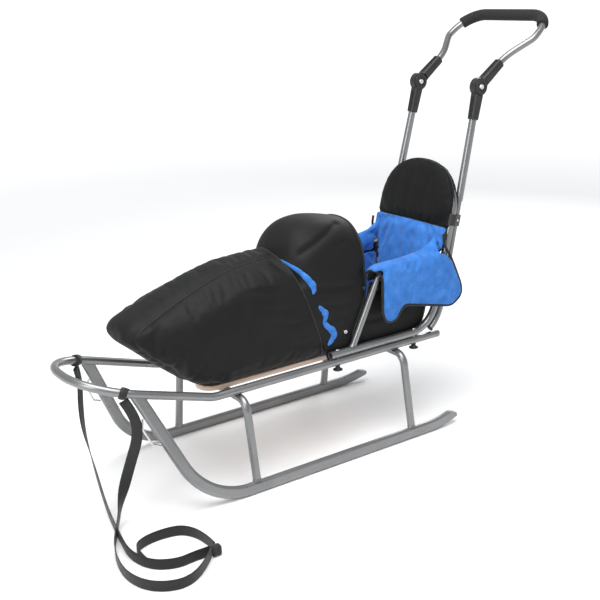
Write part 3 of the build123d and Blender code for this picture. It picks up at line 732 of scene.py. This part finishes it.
def make_bag():
    rings = [
        muff_section(*row, 2.5, 6.5 if row[0] < 120 else 2.6) for row in blended(BAG_STATIONS, 5)
    ]
    bag = remesh(loft("footmuff_bag", rings, CLOTH), VOXEL, 5)
    puff(bag, 6, SWELL, 0.04, held=near_seam)
    smooth(bag, 2)
    wrinkle_bag(bag)
    for _, side in SIDES:
        line = [point for point in section_line(bag, *seam_plane(side))[0][0] if point.z * 1000 > SOFT_Z + 6]
        crease(bag, even(line, False, 12), 2.6, 7)
    subdivide(bag)
    confine(bag, BAG_HALF)
    mouth = mouth_plane(0)
    is_ahead = ahead_of(mouth)
    beads = []
    for name, side in SIDES:
        line = [
            point for point in section_line(bag, *seam_plane(side))[0][0]
            if point.z * 1000 > SOFT_Z + 8 and is_ahead(point)
        ]
        beads.append(cord_along(f"seam_{name}", even(unwrapped(line), False, 6), 1.4, PIPING))
    cut_away(bag, [mouth], lambda place: not is_ahead(place))
    rim, closed = open_edges(bag)[0]
    beads.append(cord_along("hem", even(rim, closed, 6, 6), 2.4, PIPING, closed))
    place_piece(lined(bag, 0.010), "black_fabric", "footmuff_body", fill=0.7)
    place_piece(joined("footmuff_piping", beads), "black_fabric")


def unwrapped(line):
    """A line cut out of a closed loop, turned so that it starts at its largest gap."""
    gaps = [(line[number] - line[number - 1]).length for number in range(len(line))]
    start = gaps.index(max(gaps))
    return line[start:] + line[:start]


TOE_FOLDS = (  # ahead, height above the slats, how it leans, rise and depth
    (182, 84, 0.35, 46, 3.2), (150, 60, 0.5, 60, 3.6), (112, 38, 0.8, 62, 3.0), (60, 30, 1.0, 60, 2.2),
    (205, 118, 0.15, 34, 2.4),
)
MOUTH_FOLDS = (  # ahead, height above the slats, length and depth
    (-150, 205, 90, 2.6), (-190, 120, 80, 2.2), (-210, 60, 70, 2.6), (-160, 160, 60, 1.8),
)


def wrinkle_bag(bag):
    """Puckers at the toe's lower seam and slack folds ahead of the mouth."""
    def line_between(side, x, z, run, rise):
        start = ahead(x, side * BAG_HALF, SOFT_Z + z)
        end = ahead(x + run, side * BAG_HALF, SOFT_Z + z + rise)
        return on_surface(bag, [start.lerp(end, part / 5) for part in range(6)], -side * LEFT)

    for side in (1, -1):
        for x, z, lean, length, depth in TOE_FOLDS:
            line = line_between(side, x, z, -length * lean, length)
            fold(bag, line, depth, 7, Vector((0.013, 0, 0.002)), 0.6, 8)
        for x, z, length, depth in MOUTH_FOLDS:
            line = line_between(side, x, z, length, length * 0.18)
            fold(bag, line, depth, 8, 0.014 * UP, 0.6, 9)


HOOD_FOLDS = (  # ahead, from the middle and height of their points, depth and width
    (((-218, 110, 541), (-262, 104, 552), (-310, 92, 572), (-352, 76, 590)), 5.5, 8),
    (((-232, 124, 500), (-285, 124, 524), (-340, 122, 552)), 2.5, 9),
    (((-250, 124, 442), (-290, 124, 434), (-345, 124, 428)), 4.0, 8),
    (((-262, 124, 392), (-300, 124, 384), (-352, 124, 388)), 3.0, 9),
    (((-262, 124, 350), (-300, 124, 356), (-335, 124, 350)), 2.6, 8),
)


def make_hood():
    rings = [muff_section(*row, 2.9, 8.0) for row in blended(HOOD_STATIONS, 4)]
    hood = remesh(loft("footmuff_hood_cover", rings, CLOTH), VOXEL, 5)
    puff(hood, 6, SWELL, 0.04)
    smooth(hood, 2)
    for side in (1, -1):
        for points, depth, width in HOOD_FOLDS:
            line = [ahead(x, side * y, z) for x, y, z in points]
            line = on_surface(hood, even(line, False, 12, 4), Vector((0, -side * 0.8, -0.6)).normalized())
            fold(hood, line, depth, width, 0.017 * UP, 0.55, width * 1.2)
    subdivide(hood)
    front = mouth_plane(3)
    is_ahead = ahead_of(front)
    rear = (ahead(HOOD_REAR, 0, 0), Vector((1, 0, 0)))
    foot = (ahead(HOOD_SIDE_REAR, 0, 0), Vector((1, 0, 0)))
    lean = Vector((HOOD_EDGE[0] - HOOD_EDGE[1], 0, HOOD_SIDE_REAR - HOOD_REAR)).normalized()
    edge = (ahead(HOOD_REAR, 0, HOOD_EDGE[0]), lean)
    floor = (ahead(0, 0, SOFT_Z + 0.4), UP)

    def gone(place):
        if is_ahead(place) or place.x < rear[0].x or place.z < floor[0].z:
            return True
        return place.x < foot[0].x and (place - edge[0]).dot(edge[1]) < 0

    cut_away(hood, [front, rear, foot, edge, floor], gone)
    confine(hood, BAG_HALF)
    rim, _ = open_edges(hood)[0]
    back_edge = [p for p in rim if p.x < foot[0].x + 0.001 and p.z * 1000 > SOFT_Z + 2]
    binding = cord_along("hood_binding", even(unwrapped(back_edge), False, 6, 6), 3.4, PIPING)
    place_piece(lined(hood, 0.009), "black_fabric", "footmuff_hood", fill=0.6)
    place_piece(binding, "black_fabric")
    return hood


LINING_RUNS = (  # the lining shows at the mouth's side: ahead, height, half-width
    ((-184, 511, 2.0), (-192, 503, 3.6), (-205, 490, 5.0), (-217, 476, 6.0), (-226, 462, 7.5),
     (-233, 449, 8.5), (-234, 438, 6.0), (-230, 430, 3.0)),
    ((-244, 397, 3.0), (-256, 384, 6.5), (-265, 372, 8.5), (-264, 361, 6.0), (-262, 350, 6.0),
     (-270, 338, 7.0), (-282, 327, 8.5), (-289, 316, 9.0), (-286, 305, 8.0), (-277, 295, 6.0),
     (-270, 288, 3.0)),
)


def make_lining(hood):
    """The scalloped frill of lining that shows where the hood leaves the bag's mouth."""
    columns = 7
    strips = []
    for name, side in SIDES:
        inward = -side * LEFT
        for number, run in enumerate(LINING_RUNS):
            rows = [(x, z, half * 1.25) for x, z, half in blended(run, 4)]
            flat, swells = [], []
            for index, (x, z, half) in enumerate(rows):
                before, after = rows[max(index - 1, 0)], rows[min(index + 1, len(rows) - 1)]
                way = Vector((after[0] - before[0], after[1] - before[1])).normalized()
                for column in range(columns):
                    share = 2 * column / (columns - 1) - 1
                    flat.append(ahead(x - way.y * half * share, side * BAG_HALF, z + way.x * half * share))
                    swells.append(4.5 * (1 - share * share) + 0.9 * math.sin(index * 1.1) - 0.8)
            points = [
                point - inward * (swell / 1000)
                for point, swell in zip(on_surface(hood, flat, inward), swells)
            ]
            faces = [
                (corner, corner + 1, corner + columns + 1, corner + columns)
                for index in range(len(rows) - 1)
                for corner in range(index * columns, index * columns + columns - 1)
            ]
            strip = from_lists(f"lining_{name}_{number}", points, faces, FLEECE)
            modify(strip, "SOLIDIFY", thickness=0.003, offset=-side)
            strips.append(subdivide(strip))
    place_piece(joined("footmuff_lining_frill", strips), "blue_fleece")


make_bag()
make_lining(make_hood())


# ---- seat liner
def rounded(corners, radii, steps=6):
    """An outline with its corners as arcs: corners are pairs in mm, with a radius each."""
    outline = []
    total = len(corners)
    for index, radius in enumerate(radii):
        corner = Vector(corners[index])
        into = (Vector(corners[index - 1]) - corner).normalized()
        out = (Vector(corners[(index + 1) % total]) - corner).normalized()
        half_angle = into.angle(out) / 2
        reach = radius / math.tan(half_angle)
        middle = corner + (into + out).normalized() * (radius / math.sin(half_angle))
        start, end = corner + into * reach - middle, corner + out * reach - middle
        turn = start.angle_signed(end)
        for step in range(steps + 1):
            spin = Matrix.Rotation(-turn * step / steps, 2)
            outline.append(middle + spin @ start)
    return outline


def stepped(outline, step, ease=0):
    """A closed outline in mm with its points a step apart."""
    return [point.to_2d() * 1000 for point in even([p.to_3d() / 1000 for p in outline], True, step, ease)]


def slab(name, outline, place, low, high, edge, *paints):
    """A closed pad on an outline, from low to high mm, its rims drawn in by edge mm."""
    centre = sum(outline, Vector((0, 0))) / len(outline)
    depths = ((low, edge), (low + edge * 0.5, 0), ((low + high) / 2, 0), (high - edge * 0.5, 0), (high, edge))
    rings = []
    for depth, inset in depths:
        shrunk = [point - (point - centre).normalized() * inset for point in outline]
        rings.append([place(point.x, point.y, depth) for point in shrunk])
    return loft(name, rings, *paints)


def two_faced(piece, is_back, paint):
    """Gives the faces that is_back picks, by centre and normal, a second finish."""
    piece.data.materials.append(paint)
    index = len(piece.data.materials) - 1
    for face in piece.data.polygons:
        if is_back(face.center, face.normal):
            face.material_index = index


HEAD_TOP = 438.0
BACK_WAY = Vector((math.cos(LEAN), 0, math.sin(LEAN)))


def arch_outline(half, low, top):
    """Straight sides from the lower seam that close in an arch above."""
    power, steps = 2.4, 28
    spring = low + 28
    arch = []
    for step in range(steps + 1):
        turn = math.pi * step / steps
        rise = (top - spring) * abs(math.sin(turn)) ** (2 / power)
        arch.append(Vector((half * bowed(math.cos(turn), 2 / power), spring + rise)))
    return [Vector((-half, low)), Vector((0, low)), Vector((half, low))] + arch


def make_headrest():
    outline = arch_outline(HEAD_HALF - 6, HEAD_LOW - 2, HEAD_TOP)
    pad = slab("headrest_pocket", stepped(outline, 9, 1), on_back, -10, 16, 5, HEAD_CLOTH)
    remesh(pad, 5, 5)
    puff(pad, 5, 6, 0.03, rim=BACK_WAY)
    smooth(pad, 2)
    for left, depth in ((-72, 0.9), (-20, 1.3), (48, 1.0)):
        line = [on_back(left + 6 * math.sin(up / 30), up, 24) for up in range(300, 400, 14)]
        crease(pad, on_surface(pad, line, -BACK_WAY), depth, 10)
    subdivide(pad)
    up = Vector((-math.sin(LEAN), 0, math.cos(LEAN)))
    seams = [
        bead("low_bead", pad, on_back(0, HEAD_LOW + 2, 0), up, 2.4),
        bead("rim_bead", pad, on_back(0, 0, 4), BACK_WAY, 2.0),
    ]
    place_piece(pad, "black_fabric", "headrest", fill=0.5)
    place_piece(joined("headrest_piping", seams), "black_fabric")


def make_back_liner():
    """Blue in front and black behind: wide in front of the tubes above, narrow between the panels below."""
    wide, narrow = 144.0, PANEL_IN + 0.5
    corners = (
        (-narrow, 14), (narrow, 14), (narrow + 1, 188), (wide, 214), (wide, HEAD_LOW + 4),
        (-wide, HEAD_LOW + 4), (-wide, 214), (-narrow - 1, 188),
    )
    outline = stepped(rounded(corners, (12, 12, 30, 14, 5, 5, 14, 30)), 9)
    liner = slab("back_liner", outline, on_back, 12.5, 22, 3, FLEECE)
    remesh(liner, 5, 4)
    puff(liner, 4, 5, 0.05, rim=BACK_WAY)
    smooth(liner, 2)
    for left, low, high, depth, width in (
        (-104, 90, 234, 5.0, 12), (-62, 110, 236, 3.2, 10), (-20, 120, 232, 4.6, 13), (24, 100, 230, 5.0, 12),
        (60, 130, 236, 3.4, 11), (96, 110, 228, 4.4, 12),
    ):
        line = [
            on_back(left + 7 * math.sin(step * 0.9 + left), low + (high - low) * step / 8, 40)
            for step in range(9)
        ]
        crease(liner, on_surface(liner, line, -BACK_WAY), depth, width)
    subdivide(liner)
    two_faced(liner, lambda centre, normal: normal.dot(BACK_WAY) < -0.3, CLOTH)
    binding = bead("back_liner_binding", liner, on_back(0, 0, 16), BACK_WAY, 2.6)
    place_piece(liner, "blue_fleece", "back_pad", fill=0.4)
    place_piece(binding, "black_fabric")


def make_seat_liner():
    low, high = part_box("seat_pad")
    front, rear = (high.x - FRONT) * 1000 - 5, SEAT_CORNER + 14
    half = PANEL_IN + 1.5
    corners = ((rear, -half), (front, -half), (front, half), (rear, half))
    outline = stepped(rounded(corners, (14,) * 4), 9)
    seat = slab("seat_cushion", outline, ahead, low.z * 1000 + 2, high.z * 1000 - 5, 6, FLEECE)
    remesh(seat, 5, 4)
    puff(seat, 4, 6, 0.03)
    for share in (0.33, 0.66):
        x = rear + (front - rear) * share
        line = [ahead(x, y, 300) for y in range(-100, 101, 20)]
        crease(seat, on_surface(seat, line, -UP), 4, 7)
    subdivide(seat)
    confine(seat, PANEL_IN + 3)
    two_faced(seat, lambda centre, normal: normal.x < -0.5 or normal.z < -0.5, CLOTH)
    place_piece(seat, "blue_fleece", "seat_pad", fill=0.6)


CURTAIN_FOOT = 428.0  # where the wings inside the armrests meet the side panels


def side_creases(piece, side, out, creases):
    """Creases in a piece's outer side: their points ahead and above the floor, depth and width."""
    for points, depth, width in creases:
        line = even([ahead(x, side * out, z) for x, z in points], False, 12, 3)
        crease(piece, on_surface(piece, line, -side * LEFT), depth, width)


def back_line(z):
    """Where the leaning back frame's middle stands at a height, ahead of the front bow."""
    return SEAT_CORNER - math.tan(LEAN) * (z - SEAT_TUBE_Z)


def make_side_panel(name, side):
    front, foot = HOOD_REAR - 4, HOOD_SIDE_REAR - 4
    corners = (
        (foot, SOFT_Z + 3), (SEAT_CORNER + 22, SOFT_Z + 3), (back_line(CURTAIN_FOOT) + 14, CURTAIN_FOOT - 2),
        (front - 2, CURTAIN_FOOT - 2), (front, HOOD_EDGE[0] - 8), (foot, HOOD_EDGE[1]),
    )
    outline = stepped(rounded(corners, (8, 62, 14, 10, 6, 10)), 9)
    low, high = PANEL_IN + 3.5, PANEL_OUT - 3.5
    panel = slab(f"liner_side_{name}", outline, lambda x, z, y: ahead(x, side * y, z), low, high, 3, CLOTH)
    remesh(panel, 4.5, 3)
    puff(panel, 4, 3, 0.03, rim=LEFT)
    side_creases(panel, side, 140, (
        (((-380, 410), (-440, 396), (-500, 400)), 3.0, 8),
        (((-372, 330), (-430, 322), (-520, 332)), 3.4, 8),
        (((-540, 420), (-560, 380), (-590, 350)), 3.0, 8),
    ))
    subdivide(panel)
    two_faced(panel, lambda centre, normal: normal.y * side < -0.2, FLEECE)
    middle = ahead(0, side * (low + high) / 2, 0)
    binding = bead(f"liner_side_binding_{name}", panel, middle, LEFT, 2.4)
    place_piece(panel, "black_fabric", f"side_panel_{name}", fill=0.5)
    place_piece(binding, "black_fabric")


WING_OUTLINE = (  # ahead, height, corner radius
    (-421, 468, 14), (-421, 345, 12), (-432, 319, 9), (-462, 319, 10), (-491, 357, 16), (-655, 320, 18),
    (-692, 343, 16), (-690, 372, 30), (-657, 447, 26), (-622, 474, 14), (-552, 466, 40),
)


WING_TOP = (  # the part over the armrest: ahead, how far it rises inside, and its outer edge
    (-399, -12, 156), (-410, -2, 160), (-430, 3, 160), (-500, 5, 160), (-560, 12, 159), (-600, 24, 158),
    (-622, 40, 157), (-634, 56, 152),
)


def wing_ring(x, rise, outer, side):
    """A ring inside the armrest, over it and to its outside, leaning with the back at its rear end."""
    inner = PANEL_IN + 2
    leaning = max(0.0, min(1.0, (-540 - x) / 90))
    ring = []
    for y, z in (
        (inner, CURTAIN_FOOT), (inner + 8, CURTAIN_FOOT), (inner + 9, 452), (inner + 15, 459.5),
        (outer - 5, 460),
        (outer, 464), (outer - 5, 469), ((inner + outer) / 2, 472), (inner + 8, 470), (inner, 462),
    ):
        share = 1 - (y - inner) / (outer - inner)
        height = z + (rise * share if z > 440 else 0)
        drop = (rise + 470 - height) * math.tan(LEAN) * leaning
        ring.append(ahead(x + drop, side * y, height))
    return ring


def make_wing(name, side):
    """The liner's wing: over the armrest and down outside it, in two lobes."""
    corners = [(x, z) for x, z, _ in WING_OUTLINE]
    outline = stepped(rounded(corners, [radius for _, _, radius in WING_OUTLINE]), 8, 1)
    low, high = FLAP_IN + 2, FLAP_OUT - 3
    outer = slab("outer", outline, lambda x, z, y: ahead(x, side * y, z), low, high, 3, FLEECE)
    top = [wing_ring(*row, side) for row in blended(WING_TOP, 3)]
    wing = joined(f"arm_wing_{name}", [outer, loft("over", top, FLEECE)])
    remesh(wing, 4, 10)
    puff(wing, 4, 4, 0.04, rim=LEFT)
    smooth(wing, 2)
    side_creases(wing, side, 172, (
        (((-500, 400), (-560, 383), (-640, 372)), 2.8, 9),
        (((-474, 440), (-470, 415), (-474, 392)), 1.8, 9),
        (((-612, 458), (-640, 420), (-668, 380)), 2.0, 9),
    ))
    subdivide(wing)

    def is_lining(centre, normal):
        y = abs(centre.y) * 1000
        faces_in = normal.y * side < -0.45 and y > FLAP_IN - 12
        return centre.z < 0.455 and (faces_in or (normal.y * side > 0.45 and y < PANEL_OUT + 6))

    two_faced(wing, is_lining, CLOTH)
    middle = (FLAP_IN + FLAP_OUT) / 2
    edge = unwrapped([ahead(point.x, side * middle, point.y) for point in outline if point.y < 450])
    if edge[0].x < edge[-1].x:
        edge.reverse()
    front = [(-400, 115, 430), (-399, 116, 446), (-400, 124, 457), (-402, 140, 461), (-408, 153, 459)]
    rear = [(-650, 157, 462), (-640, 154, 476), (-634, 150, 496), (-636, 147, 518)]
    line = [ahead(x, side * y, z) for x, y, z in front] + edge + [ahead(x, side * y, z) for x, y, z in rear]
    binding = cord_along(f"arm_wing_binding_{name}", even(line, False, 5, 4), 3.4, PIPING)
    place_piece(wing, "blue_fleece", f"arm_flap_{name}", fill=0.4)
    place_piece(binding, "black_fabric")


make_headrest()
make_back_liner()
make_seat_liner()
for side_name, side_sign in SIDES:
    make_side_panel(side_name, side_sign)
    make_wing(side_name, side_sign)


# ---- tow strap
STRAP_WIDTH = 25.0
STRAP_THICK = 2.0
STRAP_ROUTES = {  # ahead of the front bow, left of the middle, above the floor
    "left": (
        (294.2, 133.8, 294.6), (274, 149, 254), (274, 147, 202), (285, 126, 144), (303, 117, 84),
        (321, 124, 44), (336, 143, 19), (359, 180, 14), (386, 228, 12.6), (407, 284, 12.6),
        (417, 347, 12.6), (404, 403, 12.6), (371, 438, 12.6), (326, 451, 12.6),
        (274, 424, 12.6), (235.2, 384, 12.6),
    ),
    "right": (
        (294.2, -133.8, 294.8), (281, -148, 250), (290, -139, 196), (302, -107, 139), (309, -50, 83),
        (318, 9, 32), (332, 72, 13), (346, 129, 12.6), (364, 212, 12.6), (377, 287, 12.6),
        (358, 348, 12.6), (311, 377, 12.6), (267, 373, 12.6), (232.8, 375.5, 12.6),
    ),
    "loop": (
        (217, 370.3, 12.6), (213, 318, 12.6), (233, 263, 12.6), (275, 250, 12.6), (325, 252, 12.6),
        (356, 270, 12.6), (361, 305, 12.6), (360.5, 333, 12.6),
    ),
}


def spline_points(name, route):
    """The smooth line that a route's points control, as evenly cut points."""
    curve = bpy.data.curves.new(name, "CURVE")
    assign(curve, dimensions="3D", resolution_u=10)
    spline = curve.splines.new("NURBS")
    spline.points.add(len(route) - 1)
    for place, point in zip(spline.points, route):
        place.co = (*ahead(*point), 1)
    spline.order_u = 3
    spline.use_endpoint_u = True
    holder = bpy.data.objects.new(name, curve)
    mesh = bpy.data.meshes.new_from_object(holder)
    points = [vertex.co.copy() for vertex in mesh.vertices]
    bpy.data.objects.remove(holder)
    bpy.data.meshes.remove(mesh)
    return points


def strap_across(points, index, hung, start_way, drop):
    """Which way the webbing's width lies: start_way at the tube, upright once it has hung for drop metres."""
    before, after = points[max(index - 1, 0)], points[min(index + 1, len(points) - 1)]
    along = (after - before).normalized()
    share = min(1.0, hung / drop) if drop else 1.0
    share = share * share * (3 - 2 * share)
    wish = start_way.lerp(UP, share)
    across = wish - along * wish.dot(along)
    return along, across.normalized()


def map_flat(piece, count, place_of):
    """A map for the ribs: place_of gives it by ring and by point of the ring, in metres."""
    layer = piece.data.uv_layers.new(name="flat")
    for loop in piece.data.loops:
        layer.data[loop.index].uv = place_of(*divmod(loop.vertex_index, count))


def make_strap(name, start_way, drop):
    """Flat webbing along its smooth line, turned from how it hangs to how it stands on its edge."""
    points = spline_points(f"tow_webbing_{name}_line", STRAP_ROUTES[name])
    lengths = [0.0]
    for start, end in zip(points, points[1:]):
        lengths.append(lengths[-1] + (end - start).length)
    half, thin = STRAP_WIDTH / 2000, STRAP_THICK / 2000
    profile = [(-1, -0.5), (-0.96, -1), (-0.5, -1), (0, -1), (0.5, -1), (0.96, -1), (1, -0.5),
               (1, 0.5), (0.96, 1), (0.5, 1), (0, 1), (-0.5, 1), (-0.96, 1), (-1, 0.5)]
    rings = []
    last = None
    for index, point in enumerate(points):
        along, across = strap_across(points, index, lengths[index], start_way, drop)
        if last is not None and across.dot(last) < 0:
            across = -across
        last = across
        out = along.cross(across).normalized()
        rings.append([point + across * (u * half) + out * (v * thin) for u, v in profile])
    strap = skin(f"tow_webbing_{name}", rings, WEBBING)
    map_flat(strap, len(profile), lambda ring, column: (lengths[ring], profile[column][0] * half))
    for vertex in strap.data.vertices:
        vertex.co.z = max(vertex.co.z, 0.0001)
    place_piece(strap, "black_webbing", f"tow_strap_{name}")


def make_wrap(name, side):
    """Two turns of webbing round the nose's tube, winding a little wider as they go."""
    low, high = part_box(f"strap_wrap_{name}")
    middle = (low + high) / 2
    axis = Vector((0.80, -side * 0.55, 0.24)).normalized()
    out = axis.cross(UP).normalized()
    up = out.cross(axis).normalized()
    turns, steps = 2, 56
    tube, width, thin = 11.6, 12.0, 1.0
    rings = []
    for step in range(steps + 1):
        angle = math.tau * turns * step / steps
        shift = (step / steps - 0.5) * 11
        radial = out * math.cos(angle) + up * math.sin(angle)
        reach = tube + 1.6 * (angle / math.tau) * 0.6
        centre = middle + axis * (shift / 1000)
        rings.append([
            centre + axis * (u * width / 2000) + radial * ((reach + v * thin) / 1000)
            for u, v in ((-1, 0), (-0.9, 1), (0, 1.3), (0.9, 1), (1, 0), (0.9, -1), (0, -1), (-0.9, -1))
        ])
    knot = skin(f"tow_knot_{name}", rings, WEBBING)
    map_flat(knot, 8, lambda ring, column: (ring * 0.0027, column * 0.003))
    place_piece(knot, "black_webbing", f"strap_wrap_{name}")


def make_tab():
    """The short stitched sleeve that the two straps and the loop are sewn into."""
    low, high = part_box("strap_joint")
    middle, half = (low + high) / 2, (high - low) / 2
    rings = []
    for x, bulge in ((-1, 0.72), (-0.94, 0.95), (-0.5, 1.0), (0, 0.9), (0.5, 1.0), (0.94, 0.95), (1, 0.72)):
        ring = []
        for step in range(24):
            turn = math.tau * step / 24
            across, rise = bowed(math.cos(turn), 0.45), bowed(math.sin(turn), 0.45)
            ring.append(middle + Vector((half.x * x, half.y * across * bulge, half.z * rise * bulge * 0.98)))
        rings.append(ring)
    tab = loft("tow_tab", rings, WEBBING)
    tab.data.uv_layers.new(name="flat")
    subdivide(tab)
    stitches = [
        bead("stitch", tab, middle + Vector((half.x * offset, 0, 0)), Vector((1, 0, 0)), 0.5, 3, 2)
        for offset in (-0.6, 0.6)
    ]
    place_piece(tab, "black_webbing", "strap_joint")
    place_piece(joined("tow_tab_stitching", stitches), "black_webbing")


def make_tow_strap():
    for name, side in SIDES:
        make_wrap(name, side)
    make_strap("left", Vector((0.75, -0.6, 0)), 0.30)
    make_strap("right", Vector((0.75, 0.6, 0)), 0.34)
    make_strap("loop", UP, 0)
    make_tab()


make_tow_strap()


# ---- small fastenings
def make_dome(name, place, way, radius, height, paint, cup):
    """A low round head, dished in the middle by cup of its height."""
    side = way.orthogonal().normalized()
    other = way.cross(side)
    shape = ((1.0, 0.0), (1.0, 0.35), (0.93, 0.7), (0.75, 0.95), (0.45, 1.0 - cup * 0.4), (0.12, 1.0 - cup))
    rings = []
    for share, rise in shape:
        rings.append([
            place + (side * math.cos(turn) + other * math.sin(turn)) * (radius * share / 1000)
            + way * (height * rise / 1000)
            for turn in (math.tau * step / 24 for step in range(24))
        ])
    place_piece(loft(name, rings, paint), "bright_bolt")


def make_fastenings():
    for name, side in SIDES:
        low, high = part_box(f"hinge_pin_{name}")
        hub = (low + high) / 2
        for number, (face, end) in enumerate(((-1, low.y), (1, high.y))):
            make_dome(f"hinge_pin_cap_{name}_{number}", Vector((hub.x, end, hub.z)), face * LEFT,
                      2.8, 0.9, BRIGHT, 0.4)
        for height in ("lower", "upper"):
            low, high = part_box(f"clamp_{height}_{name}")
            middle = (low + high) / 2
            outward = high.y if side > 0 else low.y
            place = Vector((middle.x - 0.0005, outward - side * 0.0018, middle.z + 0.0005))
            make_dome(f"clamp_screw_{height}_{name}", place, side * LEFT, 3.4, 1.9, BRIGHT, 0.5)
        for number, (x, z, finish) in enumerate(((-325, 312, BRIGHT), (-386, 415, PLASTIC))):
            make_dome(f"snap_{name}_{number}", ahead(x, side * (BAG_HALF + 0.2), z), side * LEFT,
                      5.2, 2.2, finish, 0.9)


make_fastenings()


# ---- stage
def make_floor_paint():
    """A white that glows a little far out, where no lamp reaches, so that it stays white."""
    paint = Paint("floor_paint", 0.95, specular=0.1)
    paint.shader.inputs["Base Color"].default_value = (0.93, 0.93, 0.93, 1)
    paint.shader.inputs["Emission Color"].default_value = (1, 1, 1, 1)
    distance = paint.node("ShaderNodeVectorMath", operation="LENGTH")
    spread = {"From Min": 1.6, "From Max": 6.0, "To Min": 0.0, "To Max": 0.66}
    glow = paint.node("ShaderNodeMapRange", **spread)
    paint.join(paint.place, distance.inputs[0])
    paint.join(distance.outputs["Value"], glow.inputs["Value"])
    paint.join(glow.outputs["Result"], paint.shader.inputs["Emission Strength"])
    return paint.material


def make_stage():
    """A pale floor, a pale surround and soft lights."""
    reach = 60
    corners = [(-reach, -reach, 0), (reach, -reach, 0), (reach, reach, 0), (-reach, reach, 0)]
    mesh = bpy.data.meshes.new("floor")
    mesh.from_pydata(corners, [], [(0, 1, 2, 3)])
    mesh.materials.append(make_floor_paint())
    linked("floor", mesh)

    world = bpy.data.worlds.new("surround")
    world.use_nodes = True
    tree = world.node_tree
    ambient = tree.nodes["Background"]
    ambient.inputs["Color"].default_value = (0.96, 0.98, 1.0, 1)
    ambient.inputs["Strength"].default_value = 0.55
    seen = tree.nodes.new("ShaderNodeBackground")
    seen.inputs["Color"].default_value = (1, 1, 1, 1)
    mix = tree.nodes.new("ShaderNodeMixShader")
    tree.links.new(tree.nodes.new("ShaderNodeLightPath").outputs["Is Camera Ray"], mix.inputs["Fac"])
    tree.links.new(ambient.outputs["Background"], mix.inputs[1])
    tree.links.new(seen.outputs["Background"], mix.inputs[2])
    tree.links.new(mix.outputs["Shader"], tree.nodes["World Output"].inputs["Surface"])
    bpy.context.scene.world = world

    target = ahead(-150, 0, 400)
    for name, place, size, power in (
        ("key", (300, 500, 2600), 2.2, 75),
        ("front", (2600, 900, 1500), 1.2, 22),
        ("rim", (-2400, -1200, 1700), 1.2, 25),
    ):
        light = linked(name, bpy.data.lights.new(name, "AREA"))
        assign(light.data, shape="SQUARE", size=size, energy=power)
        light.location = ahead(*place)
        light.rotation_euler = (target - light.location).to_track_quat("-Z", "Y").to_euler()
    bpy.context.scene.view_settings.view_transform = "Standard"


make_stage()
